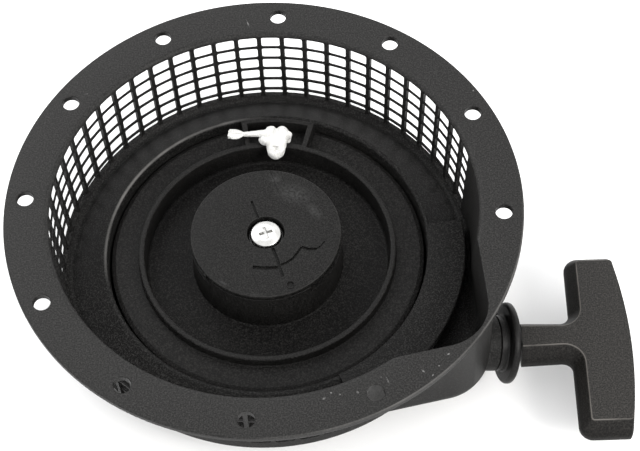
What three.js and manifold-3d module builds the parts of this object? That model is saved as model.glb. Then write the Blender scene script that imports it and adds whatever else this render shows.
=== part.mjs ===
// Recoil starter for a small engine: a black moulded bell housing with an air-intake mesh wall and a
// bolting flange, a rope reel turning on a post in its well, two pawls under a friction plate, a spiral
// return spring, and a T-handle on a rope that leaves through a trumpet-shaped guide.
// Millimetres, +Z up towards the engine. Origin: on the reel's axis, at the underside the part rests on.
// +X is the pull direction, and the flange's bolt holes are counted from +X.
import * as THREE from 'three';
import Module from 'manifold-3d';
import { mergeVertices } from 'three/addons/utils/BufferGeometryUtils.js';

const wasm = await Module();
wasm.setup();

// ---------------------------------------------------------------- driving dimensions
const GAP = 0.3;                 // clearance kept between pieces that touch
const DEG = Math.PI / 180;

// bell housing
const HEIGHT = 80;               // underside to flange face
const FLANGE_R = 130;
const FLANGE_T = 3.5;
const BOLT_CIRCLE_R = 120;
const BOLT_HOLE_R = 4.3;
const BOLT_STEP = 30;            // degrees; the place over the rope outlet has no hole
const BOLT_COUNT = 11;
const MOUTH_R = 107.45;          // bell's inner radius at the flange
const FOOT_R = 105.1;            // bell's inner radius at the wall's foot
const WALL_T = 1.8;
const FOOT_Z = 26;
const CREST_R = 82.7;            // edge of the reel's well
const CREST_Z = 39.4;
const WELL_FLOOR_R = 81.3;
const BASE_T = 3;
const SKIN_T = 3.2;

// air-intake mesh, a grid of windows round the bell's wall
const MESH_COLUMNS = 56;         // columns that a full turn would hold
const MESH_FIRST = 21.2;         // degrees, middle of the first column
const MESH_USED = 43;
const MESH_ROWS = 6;
const MESH_ROW_PITCH = 8.55;
const MESH_TOP_ROW_Z = HEIGHT - 6.15;
const WINDOW_W = 9.6;
const WINDOW_H = 7.4;
const WINDOW_LOW_Z = 30.3;       // the lowest row ends at the wall's foot

// rope outlet: a bulge of the wall with an end wall and a side wall, joined by a round corner
const OUTLET_END = { angle: 9, distance: 103, reach: 4 };
const OUTLET_SIDE = { angle: -74.3, distance: 100, reach: 33 };
const OUTLET_FROM = -58;         // degrees, the pocket's extent round the well
const OUTLET_TO = 9;
const OUTLET_CORNER_R = 24;
const OUTLET_SKIN = 2.6;
const OUTLET_BASE_Z = 22;
const OUTLET_ROUND = 12;         // rounding of the bulge's lower edge
const LEDGE_R = 102.3;           // flat ledge between the well and the outlet pocket
const LEDGE_T = 3.4;

// rope, and its guide: a flanged bush whose axis dips and turns a little off the pull line
const ROPE_R = 2.5;
const EXIT_Y = -46.6;
const EXIT_Z = 30;
const GUIDE_X = 123.4;           // middle of the bush's disc
const GUIDE_YAW = 9;
const GUIDE_DIP = 12;
const GUIDE_DISC_R = 20.5;
const GUIDE_DISC_T = 4;
const GUIDE_BORE_R = 5;
const GUIDE_SPIGOT_R = 8.7;
const GUIDE_SPIGOT_FROM = -14;   // places along the bush's axis are counted from its disc
const BOSS_R = 14;
const BOSS_FROM = -16;
const BOSS_TO = -6.4;
const THROAT = -15;

// reel
const REEL_R = 81;
const REEL_CHAMFER = 2.2;        // on the upper flange's edge
const REEL_RIM_R = 66.5;         // outer radius of the raised rim and of the groove's core
const REEL_RIM_IN_R = 63.5;
const REEL_RIM_Z = 40;
const REEL_FLANGE_Z = 34.3;
const REEL_FLANGE_T = 2.4;
const GROOVE_LOW_Z = 20.9;
const REEL_SKIRT_Z = 8;
const WEB_Z = 26.4;              // floor of the recess round the drum
const WEB_T = 2.5;
const DRUM_R = 38.5;
const DRUM_WALL = 3;
const DRUM_TOP_Z = 51;
const DECK_Z = 46.5;             // floor that the pawls lie on
const DECK_T = 2.5;
const HUB_BORE_R = 9.3;
const HUB_R = 13;
const POCKET_FROM = 75.4;        // degrees, sides of the rope's knot pocket
const POCKET_TO = 103.7;
const POCKET_OUT_R = 80.5;
const POCKET_WALL = 2.6;
const POCKET_TOP_Z = 42.7;
const KNOT_ANGLE = 88.5;
const KNOT_R = 72.5;

// post on the axis, part of the housing
const POST_FOOT_R = 12;
const POST_FOOT_Z = 22;
const POST_R = 9;
const POST_SHOULDER_Z = 44;
const POST_TIP_R = 6;
const POST_TIP_Z = 49.6;
const POST_BORE_R = 4.3;

// pawls and the friction plate
const PAWL_PIVOT_R = 27;
const PAWL_ANGLES = [180, 0];    // where each pawl's pivot lies round the drum
const PAWL_REACH = 39;           // degrees from the pivot to the tip
const PAWL_OUT_R = 37.8;
const PAWL_T = 3.7;
const PAWL_Z = 46.9;
const PAWL_SWING = 25;           // degrees, as far as the pawls swing out
const WINDOW_BEHIND = 50;        // degrees the drum's side stays open behind a pawl's pivot
const WINDOW_AHEAD = 7;          // and past its tip
const PAWL_PIN_R = 2.5;
const PEG_R = 1.5;               // peg on a pawl that the plate's cam slot pushes
const PEG_SHARE = 0.62;          // the peg's place between pivot and tip
const PLATE_R = 38.6;
const PLATE_Z = 51.3;
const PLATE_TOP_Z = 54.5;
const PLATE_BOSS_R = 11.5;
const PLATE_BOSS_Z = 48.2;
const SCREW_WELL_R = 9.6;
const SCREW_WELL_Z = 49.5;
const HEAD_R = 8.3;
const HEAD_TOP_Z = 54.2;

// return spring and its cover
const SPRING_T = 0.8;
const SPRING_H = 12;
const SPRING_Z = 9.8;
const SPRING_IN_R = 13.2;
const SPRING_OUT_R = 62.2;
const SPRING_TURNS = 5;
const COVER_T = 2.2;
const EAR_R = 70;
const EAR_SIZE = 4.6;

// T-handle, held off the pull line by the rope's lay
const HANDLE_X = 131.8;
const HANDLE_Y = EXIT_Y - 1.2;
const HANDLE_YAW = 4;
const STEM_HALF = 5.75;          // half width of the stem's flat top
const BAR_FROM = 29;             // crossbar's flat top, from the stem's end
const BAR_TO = 53.8;             // crossbar's outer face, at the fullest place of its bow
const BAR_LOW = -48.6;
const BAR_HIGH = 43.6;
const BAR_BOW = 3.9;             // how far the outer face bows out
const BAR_BOW_AT = -9;           // where along the crossbar it is fullest
const HANDLE_SIDE = 5;           // how far the sides stand out from the flat top
const HANDLE_EDGE = 8.5;         // height that the sides take to do so
const HANDLE_BELT = 3;
const FILLET_R = 10;
const STEM_FROM = -1.5;          // the stem's flat end, beside the guide
const PLUG_R = 8;

// where the rope leaves its winding, and how it leans to reach the guide's throat
const WINDING_IN_R = REEL_RIM_R + 0.4;
const WINDING_OUT_R = WINDING_IN_R + 2 * ROPE_R;
const TANGENT_R = WINDING_OUT_R + GAP + ROPE_R;
const ROPE_Z = 26.2;
const ROPE_SLOT_W = 16;
const ROPE_SLOT_L = 78;
const ROPE_SLOT_Z = 24.8;
const ROPE_SLOT_H = 10.2;
const THROAT_SAG = 2.3;          // the taut rope lies on the low side of the bush's throat
const guideAxis = new THREE.Vector3(1, 0, 0)
  .applyEuler(new THREE.Euler(0, GUIDE_DIP * DEG, GUIDE_YAW * DEG, 'ZYX'));
const guidePoint = (along) => guideAxis.clone()
  .multiplyScalar(along)
  .add(new THREE.Vector3(GUIDE_X, EXIT_Y, EXIT_Z))
  .toArray();
const [throatX, throatY, throatZ] = guidePoint(THROAT);
const throatReach = Math.hypot(throatX, throatY);
const ropeLean = Math.asin(TANGENT_R / throatReach) + Math.atan2(throatY, throatX);
const ropeStart = new THREE.Vector2(TANGENT_R * Math.sin(ropeLean), -TANGENT_R * Math.cos(ropeLean));

// ---------------------------------------------------------------- solids
const toSolid = (geometry) => {
  const bare = geometry.index ? geometry.toNonIndexed() : geometry.clone();
  bare.deleteAttribute('normal');
  bare.deleteAttribute('uv');
  const merged = mergeVertices(bare, 1e-4);
  return new wasm.Manifold(new wasm.Mesh({
    numProp: 3,
    vertProperties: new Float32Array(merged.attributes.position.array),
    triVerts: new Uint32Array(merged.index.array),
  }));
};

const toGeometry = (solid) => {
  const mesh = solid.getMesh();
  const geometry = new THREE.BufferGeometry();
  geometry.setAttribute('position', new THREE.BufferAttribute(new Float32Array(mesh.vertProperties), 3));
  geometry.setIndex(new THREE.BufferAttribute(new Uint32Array(mesh.triVerts), 1));
  return geometry;
};

const polar = (radius, degrees) => [radius * Math.cos(degrees * DEG), radius * Math.sin(degrees * DEG)];

// A body turned about Z from [radius, z] points, counted from the given angle.
const turned = (points, segments, startDegrees = 0) => {
  const outline = points.map(([r, z]) => new THREE.Vector2(r, z));
  const geometry = new THREE.LatheGeometry(outline, segments, (startDegrees + 90) * DEG);
  geometry.rotateX(90 * DEG);
  return toSolid(orient(geometry));
};

// Turns every face outward when a swept surface came out inside out.
const orient = (geometry) => {
  const position = geometry.attributes.position;
  const index = geometry.index;
  const [a, b, c] = [new THREE.Vector3(), new THREE.Vector3(), new THREE.Vector3()];
  let volume = 0;
  for (let i = 0; i < index.count; i += 3) {
    a.fromBufferAttribute(position, index.getX(i));
    b.fromBufferAttribute(position, index.getX(i + 1));
    c.fromBufferAttribute(position, index.getX(i + 2));
    volume += a.dot(b.cross(c));
  }
  if (volume < 0) {
    for (let i = 0; i < index.count; i += 3) {
      const first = index.getX(i);
      index.setX(i, index.getX(i + 1));
      index.setX(i + 1, first);
    }
  }
  return geometry;
};

const ring = (inner, outer, low, high, segments, start = 0) => turned(
  [[inner, low], [outer, low], [outer, high], [inner, high], [inner, low]], segments, start);

const rod = (radius, low, high, segments, x = 0, y = 0) => {
  const geometry = new THREE.CylinderGeometry(radius, radius, high - low, segments);
  geometry.rotateX(90 * DEG);
  geometry.translate(x, y, (low + high) / 2);
  return toSolid(geometry);
};

const block = (from, to) => {
  const geometry = new THREE.BoxGeometry(to[0] - from[0], to[1] - from[1], to[2] - from[2]);
  geometry.translate((from[0] + to[0]) / 2, (from[1] + to[1]) / 2, (from[2] + to[2]) / 2);
  return toSolid(geometry);
};

// A flat outline of [x, y] points raised from low to high.
const raised = (points, low, high) => {
  const shape = new THREE.Shape(points.map(([x, y]) => new THREE.Vector2(x, y)));
  const geometry = new THREE.ExtrudeGeometry(shape, { depth: high - low, bevelEnabled: false });
  geometry.translate(0, 0, low);
  return toSolid(geometry);
};

const arcPoints = (cx, cy, radius, from, to, steps) => {
  const points = [];
  for (let i = 0; i <= steps; i += 1) {
    const angle = (from + (to - from) * i / steps) * DEG;
    points.push([cx + radius * Math.cos(angle), cy + radius * Math.sin(angle)]);
  }
  return points;
};

// A body turned about Z, laid along the guide's axis with its origin in the middle of the disc.
const alongGuide = (solid) => solid
  .rotate([0, 90 + GUIDE_DIP, GUIDE_YAW])
  .translate([GUIDE_X, EXIT_Y, EXIT_Z]);

// A wedge of a ring, between two angles in degrees.
const sector = (inner, outer, from, to, low, high, steps) => raised(
  [...arcPoints(0, 0, outer, from, to, steps), ...arcPoints(0, 0, inner, to, from, steps)], low, high);

// A body through closed outlines of equal length, one on top of the other: [height, points] pairs.
const lofted = (levels) => {
  const count = levels[0][1].length;
  const position = levels.flatMap(([z, points]) => points.flatMap(([x, y]) => [x, y, z]));
  const index = [];
  for (let level = 0; level + 1 < levels.length; level += 1) {
    for (let i = 0; i < count; i += 1) {
      const [a, b] = [level * count + i, level * count + (i + 1) % count];
      index.push(a, b, b + count, a, b + count, a + count);
    }
  }
  const cap = (level, flip) => {
    const outline = levels[level][1].map(([x, y]) => new THREE.Vector2(x, y));
    for (const [a, b, c] of THREE.ShapeUtils.triangulateShape(outline, [])) {
      const first = level * count;
      if (flip) index.push(first + c, first + b, first + a);
      else index.push(first + a, first + b, first + c);
    }
  };
  cap(0, true);
  cap(levels.length - 1, false);
  const geometry = new THREE.BufferGeometry();
  geometry.setAttribute('position', new THREE.Float32BufferAttribute(position, 3));
  geometry.setIndex(index);
  return toSolid(orient(geometry));
};

const circleSection = (radius, sides) => {
  const shape = new THREE.Shape();
  for (let i = 0; i < sides; i += 1) {
    const [x, y] = polar(radius, 360 * i / sides);
    if (i === 0) shape.moveTo(x, y);
    else shape.lineTo(x, y);
  }
  shape.closePath();
  return shape;
};

// A section swept along a list of points.
const swept = (shape, points, steps, tension = 0.5) => {
  const path = new THREE.CatmullRomCurve3(points.map((p) => new THREE.Vector3(...p)), false,
    'catmullrom', tension);
  return new THREE.ExtrudeGeometry(shape, { steps, bevelEnabled: false, extrudePath: path });
};

// ---------------------------------------------------------------- housing
// Outline of the outlet bulge, grown outward from its inner faces by an offset.
const outletOutline = (grow) => {
  const end = OUTLET_END.distance + grow;
  const side = OUTLET_SIDE.distance + grow;
  const radius = OUTLET_CORNER_R + grow;
  const [ex, ey] = polar(1, OUTLET_END.angle);
  const [sx, sy] = polar(1, OUTLET_SIDE.angle);
  const det = ex * sy - ey * sx;
  const cx = ((end - radius) * sy - (side - radius) * ey) / det;
  const cy = ((side - radius) * ex - (end - radius) * sx) / det;
  const along = (distance, angle, travel) => {
    const [nx, ny] = polar(distance, angle);
    const [tx, ty] = polar(travel, angle + 90);
    return [nx + tx, ny + ty];
  };
  return [
    along(side, OUTLET_SIDE.angle, OUTLET_SIDE.reach - grow),
    ...arcPoints(cx, cy, radius, OUTLET_SIDE.angle, OUTLET_END.angle, 6),
    along(end, OUTLET_END.angle, OUTLET_END.reach + grow),
    polar(CREST_R + 1, OUTLET_TO + grow / 2),
    polar(CREST_R + 1, (OUTLET_FROM + OUTLET_TO) / 2),
    polar(CREST_R + 1, OUTLET_FROM - grow / 2),
  ];
};

// The bulge, or the pocket in it, with a rounded lower edge.
const outletBody = (offset, base, top, round) => {
  const levels = [0, 30, 60, 90].map((turn) => [
    base + round * (1 - Math.cos(turn * DEG)),
    outletOutline(offset - round * (1 - Math.sin(turn * DEG))),
  ]);
  levels.push([top, outletOutline(offset)]);
  return lofted(levels);
};

const meshStep = 360 / MESH_COLUMNS;
const facetStart = MESH_FIRST - meshStep / 2;

const windowCutter = () => {
  let cutter = null;
  for (let column = 0; column < MESH_USED; column += 1) {
    for (let row = 0; row < MESH_ROWS; row += 1) {
      const middle = MESH_TOP_ROW_Z - row * MESH_ROW_PITCH;
      const low = Math.max(middle - WINDOW_H / 2, WINDOW_LOW_Z);
      const high = middle + WINDOW_H / 2;
      const geometry = new THREE.BoxGeometry(14, WINDOW_W, high - low);
      geometry.translate(MOUTH_R + WALL_T / 2, 0, (low + high) / 2);
      geometry.rotateZ((MESH_FIRST + column * meshStep) * DEG);
      const window = toSolid(geometry);
      cutter = cutter ? cutter.add(window) : window;
    }
  }
  return cutter;
};

// A plain disc whose facets line up with the bell's.
const bellRod = (radius, low, high) => turned(
  [[0, low], [radius, low], [radius, high], [0, high]], MESH_COLUMNS, facetStart);

const makeHousing = () => {
  const outer = turned([
    [0, 0], [WELL_FLOOR_R - 2, 0], [CREST_R + SKIN_T - 0.6, 4.5], [CREST_R + SKIN_T, CREST_Z - 6],
    [FOOT_R + 1.4, FOOT_Z - SKIN_T], [FOOT_R + WALL_T, FOOT_Z - 1], [MOUTH_R + WALL_T, HEIGHT - FLANGE_T],
    [FLANGE_R, HEIGHT - FLANGE_T], [FLANGE_R, HEIGHT], [0, HEIGHT],
  ], MESH_COLUMNS, facetStart);
  const inside = turned([
    [0, BASE_T], [WELL_FLOOR_R - 2.5, BASE_T], [WELL_FLOOR_R, BASE_T + 2.5], [CREST_R - 0.5, CREST_Z - 1.4],
    [CREST_R + 0.4, CREST_Z], [CREST_R + 1.8, CREST_Z - 0.4], [FOOT_R - 3, FOOT_Z + 1.6],
    [FOOT_R, FOOT_Z + 4.5], [MOUTH_R, HEIGHT - 2.6], [MOUTH_R + 0.9, HEIGHT - 0.7],
    [MOUTH_R + 2.8, HEIGHT], [MOUTH_R + 2.8, HEIGHT + 3], [0, HEIGHT + 3],
  ], MESH_COLUMNS, facetStart);
  const rim = bellRod(FLANGE_R - 0.3, OUTLET_BASE_Z, HEIGHT - 1);
  const bulge = outletBody(OUTLET_SKIN, OUTLET_BASE_Z, HEIGHT - 1, OUTLET_ROUND).intersect(rim);

  const boss = alongGuide(rod(BOSS_R, BOSS_FROM, BOSS_TO, 20));
  const bore = alongGuide(rod(GUIDE_SPIGOT_R + GAP, THROAT - 3, 10, 20));

  // the ledge over the pocket, closed by a web at each end where the cone falls away
  const ledgeLow = CREST_Z - LEDGE_T;
  const ledge = sector(CREST_R - 0.3, LEDGE_R, OUTLET_FROM - 3, OUTLET_TO + 3, ledgeLow, CREST_Z, 12)
    .add(sector(CREST_R - 0.3, LEDGE_R, OUTLET_FROM - 3, OUTLET_FROM, OUTLET_BASE_Z + 1, CREST_Z, 1))
    .add(sector(CREST_R - 0.3, LEDGE_R, OUTLET_TO, OUTLET_TO + 3, OUTLET_BASE_Z + 1, CREST_Z, 1))
    .subtract(bellRod(CREST_R - 0.4, 0, HEIGHT));
  const wellWall = bellRod(CREST_R + SKIN_T, 0, CREST_Z);
  const pocket = outletBody(0, OUTLET_BASE_Z + OUTLET_SKIN, HEIGHT + 2, OUTLET_ROUND - OUTLET_SKIN)
    .subtract(wellWall)
    .subtract(ledge);
  const slotTop = ROPE_SLOT_Z + ROPE_SLOT_H;
  const ropeSlot = block([0, -ROPE_SLOT_W / 2, ROPE_SLOT_Z], [ROPE_SLOT_L, ROPE_SLOT_W / 2, slotTop])
    .rotate([0, 0, ropeLean / DEG])
    .translate([ropeStart.x, ropeStart.y, 0])
    .subtract(bellRod(WELL_FLOOR_R - 1, 0, HEIGHT));

  let housing = outer.add(bulge).add(boss);
  housing = housing.subtract(inside).add(ledge);
  housing = housing.subtract(pocket).subtract(ropeSlot).subtract(bore);
  housing = housing.subtract(windowCutter());
  for (let i = 0; i < BOLT_COUNT; i += 1) {
    const [x, y] = polar(BOLT_CIRCLE_R, i * BOLT_STEP);
    housing = housing.subtract(rod(BOLT_HOLE_R, HEIGHT - FLANGE_T - 2, HEIGHT + 2, 12, x, y));
  }
  const post = turned([
    [0, BASE_T - 1], [POST_FOOT_R + 3, BASE_T - 1], [POST_FOOT_R, BASE_T + 3], [POST_FOOT_R, POST_FOOT_Z],
    [POST_R, POST_FOOT_Z], [POST_R, POST_SHOULDER_Z], [POST_TIP_R, POST_SHOULDER_Z],
    [POST_TIP_R, POST_TIP_Z], [POST_BORE_R, POST_TIP_Z], [POST_BORE_R, 30], [0, 30],
  ], 20);
  return housing.add(post);
};

// ---------------------------------------------------------------- reel
const makeReel = () => {
  let reel = turned([
    [HUB_BORE_R, WEB_Z - WEB_T], [REEL_RIM_IN_R, WEB_Z - WEB_T], [REEL_RIM_IN_R, REEL_SKIRT_Z],
    [REEL_RIM_R, REEL_SKIRT_Z], [REEL_RIM_R, GROOVE_LOW_Z - REEL_FLANGE_T],
    [REEL_R, GROOVE_LOW_Z - REEL_FLANGE_T], [REEL_R, GROOVE_LOW_Z], [REEL_RIM_R, GROOVE_LOW_Z],
    [REEL_RIM_R, REEL_FLANGE_Z - REEL_FLANGE_T], [REEL_R, REEL_FLANGE_Z - REEL_FLANGE_T],
    [REEL_R, REEL_FLANGE_Z - REEL_CHAMFER / 2], [REEL_R - REEL_CHAMFER, REEL_FLANGE_Z],
    [REEL_RIM_R, REEL_FLANGE_Z], [REEL_RIM_R, REEL_RIM_Z],
    [REEL_RIM_IN_R, REEL_RIM_Z], [REEL_RIM_IN_R, WEB_Z], [HUB_BORE_R, WEB_Z],
    [HUB_BORE_R, WEB_Z - WEB_T],
  ], 40);
  const drum = turned([
    [HUB_BORE_R, WEB_Z - 1], [HUB_R, WEB_Z - 1], [HUB_R, DECK_Z - DECK_T],
    [DRUM_R - DRUM_WALL, DECK_Z - DECK_T], [DRUM_R - DRUM_WALL, WEB_Z - 1], [DRUM_R, WEB_Z - 1],
    [DRUM_R, DRUM_TOP_Z], [DRUM_R - 0.6, DRUM_TOP_Z], [DRUM_R - 0.6, DECK_Z],
    [PLATE_BOSS_R + 0.6, DECK_Z], [PLATE_BOSS_R + 0.6, POST_SHOULDER_Z - 0.6],
    [HUB_BORE_R, POST_SHOULDER_Z - 0.6], [HUB_BORE_R, WEB_Z - 1],
  ], 28);
  reel = reel.add(drum).subtract(ring(HUB_R, DRUM_R - DRUM_WALL, WEB_Z - WEB_T - 1, WEB_Z + 1, 28));

  // drum's side above the deck: a thick wall, open where the pawls swing out
  for (const angle of PAWL_ANGLES) {
    const opens = angle - WINDOW_BEHIND;
    const closes = angle + PAWL_REACH + WINDOW_AHEAD;
    reel = reel.add(sector(DRUM_R - DRUM_WALL, DRUM_R - 0.3, closes + 1, opens + 179, DECK_Z - 1,
      DRUM_TOP_Z, 10));
    reel = reel.subtract(sector(DRUM_R - 1.5, DRUM_R + 2, opens, closes, DECK_Z + 0.1,
      DRUM_TOP_Z + 1, 12));
    const [x, y] = polar(PAWL_PIVOT_R, angle);
    reel = reel.add(rod(7.2, 39.5, DECK_Z - 1, 16, x, y));
    reel = reel.subtract(rod(5.3, 43.2, DECK_Z + 1, 16, x, y));
    reel = reel.subtract(rod(PAWL_PIN_R + GAP, 41, DECK_Z, 12, x, y));
  }

  // knot pocket on the upper flange: its side walls rise outward from the rim to the outer wall
  const wallZ = REEL_FLANGE_Z - REEL_FLANGE_T;
  const side = POCKET_WALL / KNOT_R / DEG;
  const walls = turned([
    [REEL_RIM_R - 1, wallZ], [POCKET_OUT_R, wallZ], [POCKET_OUT_R, POCKET_TOP_Z],
    [POCKET_OUT_R - POCKET_WALL, POCKET_TOP_Z], [REEL_RIM_R, REEL_RIM_Z], [REEL_RIM_R - 1, REEL_RIM_Z],
    [REEL_RIM_R - 1, wallZ],
  ], 72);
  const over = POCKET_TOP_Z + 1;
  const pocket = sector(REEL_RIM_R - 2, POCKET_OUT_R + 1, POCKET_FROM, POCKET_TO, wallZ - 1, over, 6)
    .intersect(walls)
    .subtract(sector(REEL_RIM_R, POCKET_OUT_R - POCKET_WALL, POCKET_FROM + side, POCKET_TO - side,
      REEL_FLANGE_Z, over, 6));
  reel = reel.add(pocket);
  const [kx, ky] = polar(KNOT_R, KNOT_ANGLE);
  reel = reel.subtract(rod(ROPE_R + 0.6, wallZ - 1, REEL_FLANGE_Z + 1, 12, kx, ky));

  // bosses that the spring cover screws to
  for (let i = 0; i < 3; i += 1) {
    const [x, y] = polar(EAR_R, 30 + 120 * i);
    const boss = rod(EAR_SIZE, REEL_SKIRT_Z, GROOVE_LOW_Z - 1, 12, x, y);
    reel = reel.add(boss).subtract(rod(1.9, REEL_SKIRT_Z - 1, GROOVE_LOW_Z - 4, 10, x, y));
  }
  return reel;
};

const makeSpringCover = () => {
  const low = REEL_SKIRT_Z - GAP - COVER_T;
  let cover = ring(POST_FOOT_R + 2.6, REEL_RIM_R, low, low + COVER_T, 32);
  for (let i = 0; i < 3; i += 1) {
    const [x, y] = polar(EAR_R, 30 + 120 * i);
    cover = cover.add(rod(EAR_SIZE, low, low + COVER_T, 12, x, y));
  }
  for (let i = 0; i < 3; i += 1) {
    const [x, y] = polar(EAR_R, 30 + 120 * i);
    cover = cover.subtract(rod(1.9, low - 1, low + COVER_T + 1, 10, x, y));
  }
  return cover;
};

const makeCoverScrew = (index) => {
  const [x, y] = polar(EAR_R, 30 + 120 * index);
  const under = REEL_SKIRT_Z - GAP - COVER_T - GAP;
  return rod(3.2, under - 1.5, under, 12, x, y).add(rod(1.5, under - 0.5, GROOVE_LOW_Z - 5, 10, x, y));
};

const makeSpring = () => {
  const steps = SPRING_TURNS * 16;
  const outward = [];
  const inward = [];
  for (let i = 0; i <= steps; i += 1) {
    const share = i / steps;
    const radius = SPRING_IN_R + (SPRING_OUT_R - SPRING_IN_R) * share ** 0.75;
    outward.push(polar(radius + SPRING_T / 2, 360 * SPRING_TURNS * share));
    inward.unshift(polar(radius - SPRING_T / 2, 360 * SPRING_TURNS * share));
  }
  return raised([...outward, ...inward], SPRING_Z, SPRING_Z + SPRING_H);
};

// ---------------------------------------------------------------- pawls and friction plate
const pegRest = polar(PAWL_OUT_R - 3, PEG_SHARE * PAWL_REACH);

// One pawl, with its pivot on +X: a boss round the pin, and an arm that curves out to the drum's edge.
const makePawl = (angle) => {
  const outerEdge = arcPoints(0, 0, PAWL_OUT_R, 18, PAWL_REACH, 5);
  const innerEdge = arcPoints(0, 0, PAWL_OUT_R - 5.2, PAWL_REACH - 4, 16, 4);
  const arm = raised([[PAWL_PIVOT_R + 4.6, -1], ...outerEdge, ...innerEdge, [PAWL_PIVOT_R - 3, 3]],
    PAWL_Z, PAWL_Z + PAWL_T);
  let pawl = rod(5.4, PAWL_Z, PAWL_Z + PAWL_T, 16, PAWL_PIVOT_R, 0).add(arm);
  pawl = pawl.subtract(rod(PAWL_PIN_R + GAP, PAWL_Z - 1, PAWL_Z + PAWL_T + 1, 12, PAWL_PIVOT_R, 0));
  pawl = pawl.add(rod(PEG_R, PAWL_Z + PAWL_T - 0.5, PLATE_Z + 1.6, 10, ...pegRest));
  return pawl.rotate([0, 0, angle]);
};

const makePawlPin = (angle) => {
  const [x, y] = polar(PAWL_PIVOT_R, angle);
  return rod(PAWL_PIN_R, 41 + GAP, PAWL_Z + PAWL_T + 0.1, 14, x, y);
};

const makePawlSpring = (angle) => {
  const [x, y] = polar(PAWL_PIVOT_R, angle);
  const points = [];
  const turns = 2;
  for (let i = 0; i <= turns * 9; i += 1) {
    const [dx, dy] = polar(4, angle + 40 * i);
    points.push([x + dx, y + dy, 44 + 1.8 * i / (turns * 9)]);
  }
  return swept(circleSection(0.35, 6), points, points.length - 1);
};

// Cam slot in the plate's underside: the peg's path as the plate and the pawls turn together.
const camSlot = (angle) => {
  let slot = null;
  const steps = 8;
  const [px, py] = [pegRest[0] - PAWL_PIVOT_R, pegRest[1]];
  for (let i = 0; i <= steps; i += 1) {
    const turn = -PAWL_SWING * i / steps;
    const [c, s] = [Math.cos(turn * DEG), Math.sin(turn * DEG)];
    const point = new THREE.Vector2(PAWL_PIVOT_R + px * c - py * s, px * s + py * c);
    point.rotateAround(new THREE.Vector2(0, 0), (angle - turn) * DEG);
    const hole = rod(PEG_R + 1, PLATE_Z - 1, PLATE_Z + 2, 8, point.x, point.y);
    slot = slot ? slot.add(hole) : hole;
  }
  return slot;
};

const makePlate = () => {
  let plate = turned([
    [POST_TIP_R + GAP, PLATE_BOSS_Z], [PLATE_BOSS_R, PLATE_BOSS_Z], [PLATE_BOSS_R, PLATE_Z],
    [PLATE_R, PLATE_Z], [PLATE_R, PLATE_TOP_Z - 0.6], [PLATE_R - 0.6, PLATE_TOP_Z],
    [SCREW_WELL_R, PLATE_TOP_Z], [SCREW_WELL_R, SCREW_WELL_Z], [POST_TIP_R + GAP, SCREW_WELL_Z],
    [POST_TIP_R + GAP, PLATE_BOSS_Z],
  ], 32);
  for (const angle of PAWL_ANGLES) plate = plate.subtract(camSlot(angle));
  return plate;
};

const makeFrictionSpring = () => {
  const points = [];
  const turns = 1.5;
  for (let i = 0; i <= turns * 12; i += 1) {
    const [x, y] = polar(8, 30 * i);
    points.push([x, y, 44.3 + 0.65 + 1.6 * i / (turns * 12)]);
  }
  return swept(circleSection(0.6, 6), points, points.length - 1);
};

const makeCentreScrew = () => {
  const under = SCREW_WELL_Z + 0.4 + 1 + GAP;
  const head = turned([
    [0, under], [HEAD_R - 0.3, under], [HEAD_R, under + 0.6], [HEAD_R - 0.9, HEAD_TOP_Z - 0.5],
    [HEAD_R - 3, HEAD_TOP_Z], [0, HEAD_TOP_Z],
  ], 24);
  const slotDepth = 1.3;
  const wing = block([-3.4, -0.7, HEAD_TOP_Z - slotDepth], [3.4, 0.7, HEAD_TOP_Z + 1]);
  const shank = rod(2.4, 32, under + 0.5, 14);
  return head.add(shank).subtract(wing).subtract(wing.rotate([0, 0, 90]));
};

// ---------------------------------------------------------------- rope, guide and handle
const makeGuide = () => {
  const face = GUIDE_DISC_T / 2;
  const seat = BOSS_TO + GAP;
  return alongGuide(turned([
    [GUIDE_BORE_R + 2, GUIDE_SPIGOT_FROM], [GUIDE_SPIGOT_R, GUIDE_SPIGOT_FROM], [GUIDE_SPIGOT_R, seat],
    [BOSS_R, seat], [BOSS_R, -face], [GUIDE_DISC_R - 2, -face], [GUIDE_DISC_R - 0.6, -face + 0.5],
    [GUIDE_DISC_R, -face + 1.6], [GUIDE_DISC_R, face - 1.6], [GUIDE_DISC_R - 0.6, face - 0.5],
    [GUIDE_DISC_R - 2, face], [GUIDE_BORE_R + 3.4, face], [GUIDE_BORE_R + 2.4, face + 1.4],
    [GUIDE_BORE_R + 1, face + 1.4], [GUIDE_BORE_R, face - 0.6], [GUIDE_BORE_R, GUIDE_SPIGOT_FROM + 3],
    [GUIDE_BORE_R + 2, GUIDE_SPIGOT_FROM],
  ], 24));
};

const handlePoint = (u, v, z = 0) => {
  const [dx, dy] = [u * Math.cos(HANDLE_YAW * DEG) - v * Math.sin(HANDLE_YAW * DEG),
    u * Math.sin(HANDLE_YAW * DEG) + v * Math.cos(HANDLE_YAW * DEG)];
  return [HANDLE_X + dx, HANDLE_Y + dy, EXIT_Z + z];
};

const placeOnHandle = (solid) => solid
  .rotate([0, 0, HANDLE_YAW])
  .translate([HANDLE_X, HANDLE_Y, EXIT_Z]);

const alongHandle = (radius, from, to, segments) => rod(radius, from, to, segments).rotate([0, 90, 0]);

// The crossbar's outer face, which stands upright and bows out along its length.
const outerFace = (v) => BAR_TO - BAR_BOW * ((v - BAR_BOW_AT) / BAR_HIGH) ** 2;

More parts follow.
